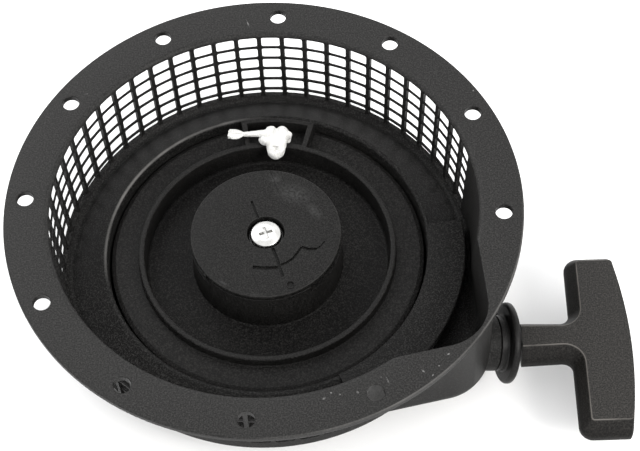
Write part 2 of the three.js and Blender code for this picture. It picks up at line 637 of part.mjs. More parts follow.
const makeHandle = () => {
  const bow = [];
  const face = [];
  for (let i = 0; i <= 8; i += 1) {
    const v = BAR_LOW + 2 + (BAR_HIGH - BAR_LOW - 4) * i / 8;
    bow.push([outerFace(v), v]);
  }
  for (let i = 0; i <= 12; i += 1) {
    const v = (BAR_LOW - HANDLE_SIDE) + (BAR_HIGH - BAR_LOW + 2 * HANDLE_SIDE) * i / 12;
    face.push([outerFace(v), v]);
  }
  const shape = new THREE.Shape([
    [STEM_FROM - 1, -STEM_HALF - 0.6],
    ...arcPoints(BAR_FROM - FILLET_R, -STEM_HALF - FILLET_R, FILLET_R, 90, 0, 4),
    [BAR_FROM, BAR_LOW + 2], [BAR_FROM + 2, BAR_LOW], [outerFace(BAR_LOW) - 2, BAR_LOW],
    ...bow,
    [outerFace(BAR_HIGH) - 2, BAR_HIGH], [BAR_FROM + 2, BAR_HIGH], [BAR_FROM, BAR_HIGH - 2],
    ...arcPoints(BAR_FROM - FILLET_R, STEM_HALF + FILLET_R, FILLET_R, 0, -90, 4),
    [STEM_FROM - 1, STEM_HALF + 0.6],
  ].map(([u, v]) => new THREE.Vector2(u, v)));
  const geometry = new THREE.ExtrudeGeometry(shape, {
    depth: HANDLE_BELT, bevelEnabled: true, bevelSize: HANDLE_SIDE, bevelThickness: HANDLE_EDGE,
    bevelSegments: 4,
  });
  geometry.translate(0, 0, -HANDLE_BELT / 2);
  const reach = BAR_HIGH - BAR_LOW;
  const behindFace = raised([[STEM_FROM, -reach], ...face, [STEM_FROM, reach]], -reach, reach);
  let handle = toSolid(geometry).intersect(behindFace);
  handle = handle.subtract(alongHandle(ROPE_R + 0.9, STEM_FROM - 1, 40, 12));
  handle = handle.subtract(alongHandle(PLUG_R, 37, BAR_TO + 2, 20));
  return placeOnHandle(handle);
};

const makeHandlePlug = () => {
  return placeOnHandle(alongHandle(PLUG_R - GAP, BAR_TO - 4, BAR_TO - 0.7, 20));
};

// A rounded lump of knotted rope, with its half sizes along X, Y and Z.
const lump = (halfSizes, centre) => {
  const outline = [];
  for (let i = 0; i <= 6; i += 1) {
    const angle = (-90 + 30 * i) * DEG;
    outline.push([i % 6 === 0 ? 0 : Math.cos(angle), Math.sin(angle)]);
  }
  return turned(outline, 12).scale(halfSizes).translate(centre);
};

const makeHandleKnot = () => placeOnHandle(lump([5.5, 6, 6], [43.5, 0, 0]));

// The knot fills its pocket, lies over the rim with a lobe hanging inward, and trails a frayed tail.
const makeReelKnot = () => {
  const [x, y] = polar(KNOT_R, KNOT_ANGLE);
  const stub = rod(ROPE_R, REEL_FLANGE_Z - REEL_FLANGE_T - 0.1, REEL_FLANGE_Z + 4, 10, x, y);
  const tail = rod(1.8, 0, 13, 10).rotate([0, -90, 3]).translate([-7, 69.3, 43.9]);
  return stub
    .add(lump([6.2, 4.9, 5], [x - 1, y - 0.3, 39.8]))
    .add(lump([9.6, 6, 3.4], [-0.4, 68.2, 43.9]))
    .add(lump([5.8, 6.8, 2.8], [0.9, 61.8, 43.3]))
    .add(tail)
    .add(lump([4.9, 3.8, 2.6], [-21, 68.5, 43.8]));
};

// The rope off the reel: a straight run to the guide, a bend in its throat, and on into the handle.
const makeRopeRun = () => {
  const along = new THREE.Vector2(Math.cos(ropeLean), Math.sin(ropeLean));
  const run = Math.sqrt(throatReach ** 2 - TANGENT_R ** 2);
  const points = [0, 0.3, 0.6, 0.88].map((share) => {
    const spot = ropeStart.clone().addScaledVector(along, run * share);
    return [spot.x, spot.y, ROPE_Z + (throatZ - THROAT_SAG - ROPE_Z) * share];
  });
  for (const [along, sag] of [[THROAT + 4, THROAT_SAG], [THROAT + 9, THROAT_SAG / 2]]) {
    const [x, y, z] = guidePoint(along);
    points.push([x, y, z - sag]);
  }
  points.push([GUIDE_X, EXIT_Y - 0.2, EXIT_Z + 0.2]);
  points.push(handlePoint(2, 0));
  points.push(handlePoint(16, 0));
  points.push(handlePoint(37.6, 0));
  return swept(circleSection(ROPE_R, 10), points, 30);
};

// ---------------------------------------------------------------- assembly
const FINISH = {
  shell: { color: 0x232323, roughness: 0.72, metalness: 0 },
  reel: { color: 0x262626, roughness: 0.66, metalness: 0 },
  plate: { color: 0x2a2a2a, roughness: 0.7, metalness: 0 },
  grip: { color: 0x2b2b2b, roughness: 0.75, metalness: 0 },
  guide: { color: 0x1d1d1d, roughness: 0.6, metalness: 0 },
  rope: { color: 0xe8e6df, roughness: 0.9, metalness: 0 },
  zinc: { color: 0xc9ccd0, roughness: 0.35, metalness: 0.9 },
  steel: { color: 0x9da0a4, roughness: 0.4, metalness: 0.9 },
  brass: { color: 0xb99a4f, roughness: 0.4, metalness: 0.9 },
};

const starter = new THREE.Group();

const place = (name, shape, finish) => {
  const geometry = shape.isBufferGeometry ? shape : toGeometry(shape);
  const mesh = new THREE.Mesh(geometry, new THREE.MeshStandardMaterial(FINISH[finish]));
  mesh.name = name;
  starter.add(mesh);
};

place('housing', makeHousing(), 'shell');
place('rope_guide', makeGuide(), 'guide');
place('post_insert', ring(2.7, POST_BORE_R - GAP, 31, POST_TIP_Z - GAP, 14), 'brass');

place('reel', makeReel(), 'reel');
place('spring_cover', makeSpringCover(), 'steel');
for (let i = 0; i < 3; i += 1) place(`cover_screw_${i + 1}`, makeCoverScrew(i), 'zinc');
place('power_spring', makeSpring(), 'steel');

PAWL_ANGLES.forEach((angle, i) => {
  place(`pawl_${i + 1}`, makePawl(angle), 'steel');
  place(`pawl_pin_${i + 1}`, makePawlPin(angle), 'steel');
  place(`pawl_spring_${i + 1}`, makePawlSpring(angle), 'steel');
});

place('friction_spring', makeFrictionSpring(), 'steel');
place('friction_washer', ring(POST_TIP_R + GAP, 10.5, 47.2, 47.9, 18), 'steel');
place('friction_plate', makePlate(), 'plate');
place('screw_washer', ring(2.9, 8.8, SCREW_WELL_Z + 0.4, SCREW_WELL_Z + 1.4, 20), 'zinc');
place('centre_screw', makeCentreScrew(), 'zinc');

place('rope_winding', ring(WINDING_IN_R, WINDING_OUT_R, GROOVE_LOW_Z + 0.4, GROOVE_LOW_Z + 10.4, 36), 'rope');
place('rope_run', makeRopeRun(), 'rope');
place('reel_knot', makeReelKnot(), 'rope');
place('handle', makeHandle(), 'grip');
place('handle_plug', makeHandlePlug(), 'grip');
place('handle_knot', makeHandleKnot(), 'rope');

export default starter;
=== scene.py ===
"""Looks for a small engine's recoil starter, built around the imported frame.

Lengths in this file are millimetres in the part's own frame: origin on the reel's axis at the underside,
+Z up towards the engine, +X the pull direction. finish_mesh() turns them into metres.
"""

import math
import random

import bmesh
import bpy
from mathutils import Matrix, Vector


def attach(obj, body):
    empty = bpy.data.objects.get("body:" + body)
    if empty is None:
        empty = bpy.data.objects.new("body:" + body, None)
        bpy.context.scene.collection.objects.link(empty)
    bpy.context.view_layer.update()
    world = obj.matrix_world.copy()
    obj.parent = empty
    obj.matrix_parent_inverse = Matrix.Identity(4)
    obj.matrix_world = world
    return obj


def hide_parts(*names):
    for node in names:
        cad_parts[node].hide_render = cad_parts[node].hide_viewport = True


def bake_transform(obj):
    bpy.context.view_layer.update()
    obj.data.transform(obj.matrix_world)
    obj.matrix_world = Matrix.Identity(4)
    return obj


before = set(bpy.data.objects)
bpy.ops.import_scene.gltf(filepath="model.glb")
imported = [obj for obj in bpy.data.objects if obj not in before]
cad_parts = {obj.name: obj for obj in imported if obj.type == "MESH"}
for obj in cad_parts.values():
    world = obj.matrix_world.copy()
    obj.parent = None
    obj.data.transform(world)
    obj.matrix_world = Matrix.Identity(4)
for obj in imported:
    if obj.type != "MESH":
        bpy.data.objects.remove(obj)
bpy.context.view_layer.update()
MM = 0.001
random.seed(7)


# ---------- camera and light
CAMERA_PLACE = (79.7, -542.0, 904.3)
CAMERA_RIGHT = (0.99830, 0.05066, -0.02873)
CAMERA_UP = (-0.02701, 0.83979, 0.54224)
LENS = 111.5
SENSOR_WIDTH = 36
LIGHT_AIM = (0.0, 0.0, 0.05)  # lamps are placed in metres
FLOOR_HALF = 4000


def new_object(name, data):
    made = bpy.data.objects.new(name, data)
    bpy.context.scene.collection.objects.link(made)
    return made


def make_camera():
    """The photograph's view, looking down on the engine side from the front."""
    right = Vector(CAMERA_RIGHT)
    up = Vector(CAMERA_UP)
    back = right.cross(up)
    data = bpy.data.cameras.new("camera")
    data.lens = LENS
    data.sensor_width = SENSOR_WIDTH
    data.clip_start = 0.01
    data.clip_end = 20
    camera = new_object("camera", data)
    turn = Matrix((right, up, back)).transposed().to_4x4()
    camera.matrix_world = Matrix.Translation(Vector(CAMERA_PLACE) * MM) @ turn
    bpy.context.scene.camera = camera


def add_softbox(name, place, side, energy, colour):
    """A square lamp that faces the part."""
    data = bpy.data.lights.new(name, "AREA")
    data.shape = "SQUARE"
    data.size = side
    data.energy = energy
    data.color = colour
    light = new_object(name, data)
    light.location = place
    light.rotation_euler = (Vector(LIGHT_AIM) - Vector(place)).to_track_quat("-Z", "Y").to_euler()


def make_world(strength):
    """An even white surround."""
    world = bpy.data.worlds.new("studio")
    world.use_nodes = True
    bpy.context.scene.world = world
    background = world.node_tree.nodes["Background"]
    background.inputs["Color"].default_value = (1.0, 1.0, 1.0, 1.0)
    background.inputs["Strength"].default_value = strength


# ---------- shader helpers
def add(tree, kind, inputs=None, **settings):
    """A shader node with its inputs set or linked, by socket name or number."""
    made = tree.nodes.new("ShaderNode" + kind)
    for key, value in settings.items():
        setattr(made, key, value)
    for key, value in (inputs or {}).items():
        socket = made.inputs[key]
        if isinstance(value, bpy.types.NodeSocket):
            tree.links.new(value, socket)
        else:
            socket.default_value = value
    return made


def blank(name):
    """A new material with its node tree, its shader and its place on the piece."""
    made = bpy.data.materials.new(name)
    made.use_nodes = True
    tree = made.node_tree
    return made, tree, tree.nodes["Principled BSDF"], add(tree, "TexCoord").outputs["Object"]


def dress(tree, shader, colour, matt, normal):
    """Links a material's colour, roughness and surface normal."""
    for name, socket in (("Base Color", colour), ("Roughness", matt), ("Normal", normal)):
        tree.links.new(socket, shader.inputs[name])


def noise(tree, where, scale, detail=3.0, rough=0.55):
    return add(tree, "TexNoise", {"Vector": where, "Scale": scale, "Detail": detail,
                                  "Roughness": rough}).outputs["Fac"]


def stretch(tree, where, scale, turn=(0.0, 0.0, 0.0)):
    return add(tree, "Mapping", {"Vector": where, "Scale": scale, "Rotation": turn}).outputs["Vector"]


def window(tree, value, low, high, to_low=0.0, to_high=1.0):
    """Maps a value between two limits onto another range, held at the ends."""
    return add(tree, "MapRange", {"Value": value, "From Min": low, "From Max": high, "To Min": to_low,
                                  "To Max": to_high}).outputs["Result"]


def math_node(tree, kind, first, second):
    return add(tree, "Math", {0: first, 1: second}, operation=kind).outputs["Value"]


def fold(tree, kind, values):
    """One value from several, through a chain of maths nodes of one kind."""
    total = values[0]
    for value in values[1:]:
        total = math_node(tree, kind, total, value)
    return total


def blend_colour(tree, share, first, second):
    """Mixes two colours, each a socket or an (r, g, b), by a share that is a socket or a number."""
    ends = [end if isinstance(end, bpy.types.NodeSocket) else (*end, 1.0) for end in (first, second)]
    return add(tree, "Mix", {0: share, 6: ends[0], 7: ends[1]}, data_type="RGBA").outputs[2]


def bump(tree, height, strength, distance, under=None):
    inputs = {"Height": height, "Strength": strength, "Distance": distance}
    if under is not None:
        inputs["Normal"] = under
    return add(tree, "Bump", inputs).outputs["Normal"]


def spots(tree, where, marks, softness=0.3):
    """A mask that is 1 on small scuffs: a height, and (x, y, length, width, turn in degrees) of each."""
    masks = []
    z, places = marks
    for x, y, length, width, turn in places:
        shifted = add(tree, "VectorMath", {0: where, 1: (x * MM, y * MM, z * MM)}, operation="SUBTRACT")
        turned = add(tree, "VectorRotate", {"Vector": shifted.outputs[0], "Angle": -math.radians(turn)},
                     rotation_type="Z_AXIS")
        squashed = add(tree, "VectorMath", {0: turned.outputs[0],
                       1: (2 / length / MM, 2 / width / MM, 2 / width / MM)}, operation="MULTIPLY")
        size = add(tree, "VectorMath", {0: squashed.outputs[0]}, operation="LENGTH").outputs["Value"]
        masks.append(window(tree, size, 1.0, softness))
    return fold(tree, "MAXIMUM", masks)


# ---------- materials
BLACK = (0.0, 0.0, 0.0)
GRAIN_SCALE = 1300.0
SPECK_SCALE = 520.0
CLOUD_SCALE = 16.0
GRAIN_DEPTH = 0.00016
# The painted side shade runs from full on a side as steep as SIDE_UP to none on a top as flat as TOP_UP.
SIDE_UP = 0.5  # Z of the normal on a steep side, and on a nearly flat top
TOP_UP = 0.86
STREAKS = ((0.4, 90.0), (-0.9, 120.0), (1.3, 70.0))  # turn in radians, scale
BRAID_SCALE = 420.0
BRAID_TURNS = ((0.5, 0.4, 0.8), (-0.6, 0.3, -0.7))
FUZZ_SCALE = 2400.0


def painted_highlight_ring(tree, where, radius, height, width, side, share):
    """Mask of a thin painted highlight line along a round edge, strongest on the side that faces `side`
    degrees.
    """
    flat = stretch(tree, where, (1.0, 1.0, 0.0))
    reach = add(tree, "VectorMath", {0: flat}, operation="LENGTH").outputs["Value"]
    level = add(tree, "SeparateXYZ", {0: where}).outputs["Z"]
    toward = (*polar(1, side), 0.0)
    lean = add(tree, "VectorMath", {0: where, 1: toward}, operation="DOT_PRODUCT").outputs["Value"]
    return fold(tree, "MULTIPLY", [
        window(tree, reach, (radius - width) * MM, (radius - width / 3) * MM),
        window(tree, reach, (radius + width / 3) * MM, (radius + width) * MM, 1.0, 0.0),
        window(tree, level, (height - 1.2) * MM, (height - 0.8) * MM),
        window(tree, lean, 0.6 * radius * MM, 0.95 * radius * MM),
        window(tree, noise(tree, where, 45.0), 0.35, 0.6, 0.5 * share, share),
    ])


def moulded_plastic(name, tone, roughness, gloss, edge_highlight=0.0, sides=0.0, depth=None, highlight_rings=(), marks=(),
                    mark_tone=0.0, softness=0.3):
    """Black moulded plastic: sparkling grain, a faint cloudy tone, scuffs and thin scratches.

    The edge-highlight share paints a highlight on rounded top edges and `sides` paints shade on steep sides,
    as shares. `depth` is the heights in metres of the darkest painted shade and of the full tone: lower down
    the colour and gloss are darkened as painted shade. Ring entries draw painted highlight lines along round
    edges, and `marks` go to spots().
    """
    made, tree, shader, where = blank(name)
    grain = noise(tree, where, GRAIN_SCALE, 2.0, 0.6)
    cloud = noise(tree, where, CLOUD_SCALE, 3.0)
    speck = noise(tree, where, SPECK_SCALE, 3.0, 0.7)
    level = shader.inputs["Specular IOR Level"]
    level.default_value = gloss

    def shade(factor):
        return tuple(channel * factor for channel in tone)

    colour = blend_colour(tree, window(tree, cloud, 0.35, 0.65), shade(0.92), shade(1.08))
    # Painted shade: the colour is darkened and the gloss halved lower down, as shade deep in hollows.
    if depth:
        height = add(tree, "SeparateXYZ", {0: where}).outputs["Z"]
        colour = blend_colour(tree, window(tree, height, *depth, 0.45, 0.0), colour, BLACK)
        tree.links.new(window(tree, height, *depth, gloss * 0.5, gloss), level)
    colour = blend_colour(tree, window(tree, grain, 0.36, 0.5, 0.75, 0.0), colour, shade(0.2))
    colour = blend_colour(tree, window(tree, grain, 0.5, 0.66, 0.0, 0.8), colour, shade(2.6))
    colour = blend_colour(tree, window(tree, speck, 0.6, 0.72, 0.0, 0.4), colour, shade(3.2))
    if edge_highlight:
        up = add(tree, "SeparateXYZ", {0: add(tree, "TexCoord").outputs["Normal"]}).outputs["Z"]
        # Painted shade: steep sides are darker and less glossy than flat tops, as if turned from the light.
        if sides:
            colour = blend_colour(tree, window(tree, up, SIDE_UP, TOP_UP, sides, 0.0), colour, BLACK)
            tree.links.new(window(tree, up, SIDE_UP, TOP_UP, gloss * (1 - sides), gloss), level)
        # Painted highlight: rounded edges that lean towards the light are lightened, in noisy patches.
        edge = math_node(tree, "MULTIPLY", window(tree, up, 0.66, TOP_UP),
                         window(tree, up, 0.93, 0.99, 1.0, 0.0))
        patches = window(tree, noise(tree, where, 60.0), 0.35, 0.6, 0.35 * edge_highlight, edge_highlight)
        colour = blend_colour(tree, math_node(tree, "MULTIPLY", edge, patches), colour, shade(7.0))
    # Painted highlight lines along round edges.
    for ring in highlight_rings:
        colour = blend_colour(tree, painted_highlight_ring(tree, where, *ring), colour, shade(11.0))
    streaks = []
    for turn, scale in STREAKS:
        across = stretch(tree, where, (scale * 14, scale * 0.35, scale * 0.35), (0, 0, turn))
        streaks.append(window(tree, noise(tree, across, 1.0, 1.0), 0.735, 0.775, 0.0, 0.12))
    colour = blend_colour(tree, fold(tree, "MAXIMUM", streaks), colour, shade(4.0))
    if marks:
        mask = math_node(tree, "MULTIPLY", spots(tree, where, marks, softness),
                         window(tree, noise(tree, where, 700.0, 3.0), 0.35, 0.6))
        colour = blend_colour(tree, mask, colour, (mark_tone, mark_tone, mark_tone * 0.98))
    matt = math_node(tree, "ADD", window(tree, cloud, 0.3, 0.7, roughness - 0.03, roughness + 0.03),
                     window(tree, grain, 0.3, 0.7, -0.06, 0.06))
    dress(tree, shader, colour, matt, bump(tree, grain, 0.5, GRAIN_DEPTH))
    return made


def rolled_steel(name, tone, roughness, warm=0.0):
    """Sheet or turned steel: directional polish lines, dull patches and faint stain."""
    made, tree, shader, where = blank(name)
    lines = noise(tree, stretch(tree, where, (2600.0, 160.0, 2600.0), (0, 0, 0.3)), 1.0, 2.0)
    patch = noise(tree, where, 130.0, 3.0)
    fine = noise(tree, where, 1900.0, 2.0)
    bright = (tone + warm * 0.4, tone + warm * 0.2, tone - warm * 0.5)
    dull = tuple(c * 0.62 for c in bright)
    colour = blend_colour(tree, window(tree, patch, 0.35, 0.65), bright, dull)
    pitted = tuple(c * 0.4 for c in bright)
    colour = blend_colour(tree, window(tree, fine, 0.6, 0.75, 0.0, 0.4), colour, pitted)
    matt = math_node(tree, "ADD", window(tree, lines, 0.3, 0.7, roughness - 0.07, roughness + 0.09),
                     window(tree, patch, 0.3, 0.7, -0.04, 0.06))
    dress(tree, shader, colour, matt, bump(tree, lines, 0.25, 0.00006))
    shader.inputs["Metallic"].default_value = 1.0
    return made


def nylon_rope(name):
    """White braided nylon: crossing strands, fuzzy tone and grey handling marks."""
    made, tree, shader, where = blank(name)
    strands = []
    for turn in BRAID_TURNS:
        across = stretch(tree, where, (BRAID_SCALE,) * 3, turn)
        strands.append(add(tree, "TexWave", {"Vector": across, "Scale": 1.0, "Distortion": 1.2,
                                             "Detail": 2.0}).outputs["Fac"])
    braid = math_node(tree, "MAXIMUM", *strands)
    soil = noise(tree, where, 160.0, 4.0)
    fuzz = noise(tree, where, FUZZ_SCALE, 2.0)
    colour = blend_colour(tree, window(tree, braid, 0.2, 0.8), (0.42, 0.415, 0.39), (0.66, 0.66, 0.645))
    colour = blend_colour(tree, window(tree, soil, 0.56, 0.75, 0.0, 0.5), colour, (0.24, 0.23, 0.20))
    colour = blend_colour(tree, window(tree, fuzz, 0.5, 0.8, 0.0, 0.35), colour, (0.72, 0.72, 0.71))
    dress(tree, shader, colour, window(tree, fuzz, 0.3, 0.7, 0.75, 0.95),
          bump(tree, braid, 0.5, 0.0003, bump(tree, fuzz, 0.3, 0.0001)))
    shader.inputs["Sheen Weight"].default_value = 0.25
    shader.inputs["Subsurface Weight"].default_value = 0.1
    shader.inputs["Subsurface Radius"].default_value = (0.002, 0.002, 0.002)
    return made


def paper_floor(name):
    """Plain pale paper with a faint tooth."""
    made, tree, shader, where = blank(name)
    tone = noise(tree, where, 3.0, 3.0)
    tooth = noise(tree, where, 700.0, 2.0)
    colour = blend_colour(tree, tone, (0.90, 0.90, 0.90), (0.93, 0.93, 0.93))
    dress(tree, shader, colour, window(tree, tooth, 0.3, 0.7, 0.8, 0.95), bump(tree, tooth, 0.05, 0.0001))
    shader.inputs["Specular IOR Level"].default_value = 0.1
    return made


# ---------- plane geometry
def polar(radius, degrees):
    return (radius * math.cos(math.radians(degrees)), radius * math.sin(math.radians(degrees)))


def arc(cx, cy, radius, start, end, steps):
    """Points on an arc between two angles in degrees."""
    points = []
    for i in range(steps + 1):
        dx, dy = polar(radius, start + (end - start) * i / steps)
        points.append((cx + dx, cy + dy))
    return points


def rounded(corners, steps=5):
    """A closed outline of (x, y, radius) corners with each corner that has a radius turned into an arc."""
    made = []
    count = len(corners)
    for i, corner in enumerate(corners):
        here = Vector(corner[:2])
        radius = corner[2] if len(corner) > 2 else 0.0
        if radius <= 0:
            made.append(tuple(here))
            continue
        before = Vector(corners[i - 1][:2]) - here
        after = Vector(corners[(i + 1) % count][:2]) - here
        half = before.angle(after) / 2
        reach = min(radius / math.tan(half), before.length * 0.49, after.length * 0.49)
        radius = reach * math.tan(half)
        middle = here + (before.normalized() + after.normalized()).normalized() * (radius / math.sin(half))
        first = here + before.normalized() * reach - middle
        last = here + after.normalized() * reach - middle
        sweep = first.angle_signed(last)
        for k in range(steps + 1):
            turned = Matrix.Rotation(-sweep * k / steps, 2) @ first
            made.append(tuple(middle + turned))
    return made


# ---------- closed bodies
def new_mesh(points, faces):
    """A mesh with its doubled points merged and its faces turned outward."""
    mesh = bpy.data.meshes.new("body")
    mesh.from_pydata(points, [], faces)
    form = bmesh.new()
    form.from_mesh(mesh)
    bmesh.ops.remove_doubles(form, verts=form.verts, dist=1e-5)
    bmesh.ops.dissolve_degenerate(form, edges=form.edges, dist=1e-5)
    bmesh.ops.recalc_face_normals(form, faces=form.faces)
    form.to_mesh(mesh)
    form.free()
    return mesh


def lathe(outline, segments, start=0.0):
    """A body turned about Z from (radius, z) points, closed on the axis where the outline touches it."""
    points = []
    rows = []
    for radius, z in outline:
        if radius < 1e-6:
            rows.append([len(points)] * segments)
            points.append((0.0, 0.0, z))
            continue
        rows.append(list(range(len(points), len(points) + segments)))
        for i in range(segments):
            x, y = polar(radius, start + 360.0 * i / segments)
            points.append((x, y, z))
    faces = []
    for k in range(len(rows)):
        low, high = rows[k], rows[(k + 1) % len(rows)]
        if low[0] == low[1] and high[0] == high[1]:
            continue
        for i in range(segments):
            j = (i + 1) % segments
            face = [low[i], low[j], high[j], high[i]]
            faces.append([v for n, v in enumerate(face) if v not in face[:n]])
    return new_mesh(points, faces)


def loft(loops):
    """A body through closed loops of 3-D points with equal counts, capped at both ends."""
    count = len(loops[0])
    points = [point for loop in loops for point in loop]
    faces = []
    for k in range(len(loops) - 1):
        for i in range(count):
            j = (i + 1) % count
            faces.append([k * count + i, k * count + j, (k + 1) * count + j, (k + 1) * count + i])
    faces.append(list(range(count)))
    faces.append([(len(loops) - 1) * count + i for i in range(count)])
    return new_mesh(points, faces)


def prism(outline, low, high):
    return loft([[(x, y, z) for x, y in outline] for z in (low, high)])


def disc_of(radius, low, high, sides, start=0.0):
    """A plain round body about Z, from one height to another."""
    return lathe([(0, low), (radius, low), (radius, high), (0, high)], sides, start)


def turn_by(degrees, axis="Z"):
    return Matrix.Rotation(math.radians(degrees), 4, axis)


def part_ring(outline, start, end, steps):
    """A closed (radius, z) outline swept round Z between two angles in degrees."""
    loops = []
    for k in range(steps + 1):
        turn = start + (end - start) * k / steps
        loops.append([(*polar(radius, turn), z) for radius, z in outline])
    return loft(loops)


def tube(path, radius, sides, braid=0.0):
    """A round body along 3-D points, with a braid's crossing ridges raised on it when asked."""
    points = [Vector(p) for p in path]
    loops = []
    along = 0.0
    side = None
    for i, point in enumerate(points):
        ahead = (points[min(i + 1, len(points) - 1)] - points[max(i - 1, 0)]).normalized()
        if side is None:
            side = ahead.orthogonal().normalized()
        side = (side - ahead * side.dot(ahead)).normalized()
        other = ahead.cross(side)
        if i:
            along += (point - points[i - 1]).length
        here = radius(i / (len(points) - 1)) if callable(radius) else radius
        loop = []
        for k in range(sides):
            turn = 2 * math.pi * k / sides
            ridge = max(math.sin(4 * turn + along * 1.7), math.sin(4 * turn - along * 1.7))
            reach = here + braid * (ridge - 0.6)
            loop.append(tuple(point + (side * math.cos(turn) + other * math.sin(turn)) * reach))
        loops.append(loop)
    return loft(loops)


def smooth_path(points, each):
    """A Catmull-Rom curve through 3-D points, with `each` steps between neighbours."""
    knots = [Vector(p) for p in points]
    knots = [knots[0] * 2 - knots[1]] + knots + [knots[-1] * 2 - knots[-2]]
    made = []
    for i in range(1, len(knots) - 2):
        a, b, c, d = knots[i - 1:i + 3]
        for k in range(each):
            t = k / each
            made.append(0.5 * (2 * b + (c - a) * t + (2 * a - 5 * b + 4 * c - d) * t * t
                               + (3 * b - a - 3 * c + d) * t ** 3))
    made.append(knots[-2])
    return made


def moved(mesh, place=(0, 0, 0), turn=None):
    """Turns the mesh, then shifts it."""
    if turn is not None:
        mesh.transform(turn)
    mesh.transform(Matrix.Translation(place))
    return mesh


def together(meshes):
    """Several separate bodies as one mesh."""
    form = bmesh.new()
    for mesh in meshes:
        form.from_mesh(mesh)
    made = bpy.data.meshes.new("group")
    form.to_mesh(made)
    form.free()
    return made


def combine(kind, mesh, *others):
    """Union, difference or intersection of closed bodies."""
    for other in others:
        target = new_object("target", mesh)
        tool = new_object("tool", other)
        change = target.modifiers.new("change", "BOOLEAN")
        change.operation = kind
        change.solver = "MANIFOLD"
        change.object = tool
        bpy.context.view_layer.update()
        mesh = bpy.data.meshes.new_from_object(target.evaluated_get(bpy.context.evaluated_depsgraph_get()))
        bpy.data.objects.remove(target)
        bpy.data.objects.remove(tool)
    return mesh


def cut(mesh, *tools):
    return combine("DIFFERENCE", mesh, *tools)


def join(mesh, *others):
    return combine("UNION", mesh, *others)


def finish_mesh(name, mesh, material, body, nodes, sharp=32.0):
    """Makes the piece from a mesh in millimetres and hangs it on its CAD body."""
    mesh.transform(Matrix.Scale(MM, 4))
    mesh.materials.clear()
    mesh.materials.append(material)
    mesh.polygons.foreach_set("use_smooth", [True] * len(mesh.polygons))
    mesh.polygons.foreach_set("material_index", [0] * len(mesh.polygons))
    mesh.set_sharp_from_angle(angle=math.radians(sharp))
    made = new_object(name, mesh)
    if body:
        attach(made, body)
    if nodes:
        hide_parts(*nodes)
    return made


# ---------- bell housing
HEIGHT = 80.0
FLANGE_R = 129.96
FLANGE_T = 3.5
BOLT_CIRCLE_R = 120.0
BOLT_HOLE_R = 4.3
MOUTH_R = 107.45
FOOT_R = 105.1
FOOT_Z = 26.0
WALL_T = 1.8
CREST_R = 82.7
CREST_Z = 39.4
WELL_FLOOR_R = 81.3
SKIN_T = 3.2
MESH_COLUMNS = 56
MESH_FIRST = 21.2
MESH_USED = 43
MESH_ROWS = 6
ROW_PITCH = 8.55
TOP_ROW_Z = HEIGHT - 6.15
WINDOW_W = 9.75
WINDOW_H = 7.4
WINDOW_LOW_Z = 30.3
RAIL_T = 0.9
OUTLET_END = (9.0, 103.0, 4.0)  # degrees, distance of the wall from the axis, reach along it
OUTLET_SIDE = (-74.3, 100.0, 33.0)
OUTLET_FROM = -58.0
OUTLET_TO = 9.0
OUTLET_CORNER_R = 24.0
OUTLET_SKIN = 2.6
OUTLET_BASE_Z = 22.0
OUTLET_ROUND = 12.0
LEDGE_R = 102.3
LEDGE_T = 3.4
ROPE_R = 2.5
EXIT_Y = -46.6
EXIT_Z = 30.0
GUIDE_X = 123.4
GUIDE_YAW = 9.0
GUIDE_DIP = 12.0
GUIDE_DISC_R = 20.5
GUIDE_DISC_T = 4.0
GUIDE_BORE_R = 5.0
GUIDE_SPIGOT_R = 8.7
GUIDE_SPIGOT_FROM = -14.0
BOSS_R = 14.0
BOSS_FROM = -16.0
BOSS_TO = -6.4
THROAT = -15.0
TANGENT_R = 74.7
ROPE_Z = 26.2
ROPE_SLOT_Z = 24.8
ROPE_SLOT_H = 10.2
THROAT_SAG = 2.3  # the taut rope lies on the low side of the bush's throat
WINDOW_CORNER_R = 0.9
WINDOW_REACH = (103.0, 111.0)
THINNED_TO_R = 112.4
ROPE_SLOT_L = 78
ROPE_SLOT_HALF_W = 8
FLANGE_ROUND = 2.8  # where the flange turns down into the wall
HOLE_COUNT = 11
HOLE_STEP = 30.0
POST_FOOT_R = 15
POST_ROOT_R = 12
POST_R = 9
POST_NECK_R = 6
POST_SHOULDER_Z = 22
POST_NECK_Z = 44
POST_TOP_Z = 49.6
INSERT_R = 4.3
INSERT_LOW_Z = 30
guide_place = (Matrix.Translation((GUIDE_X, EXIT_Y, EXIT_Z)) @ turn_by(GUIDE_YAW)
               @ turn_by(90 + GUIDE_DIP, "Y"))
throat = guide_place @ Vector((0, 0, THROAT))
throat_reach = math.hypot(throat.x, throat.y)
rope_lean = math.asin(TANGENT_R / throat_reach) + math.atan2(throat.y, throat.x)
rope_start = (TANGENT_R * math.sin(rope_lean), -TANGENT_R * math.cos(rope_lean))
column_step = 360.0 / MESH_COLUMNS
fine_start = MESH_FIRST - column_step / 2
BELL_SEGMENTS = MESH_COLUMNS * 4


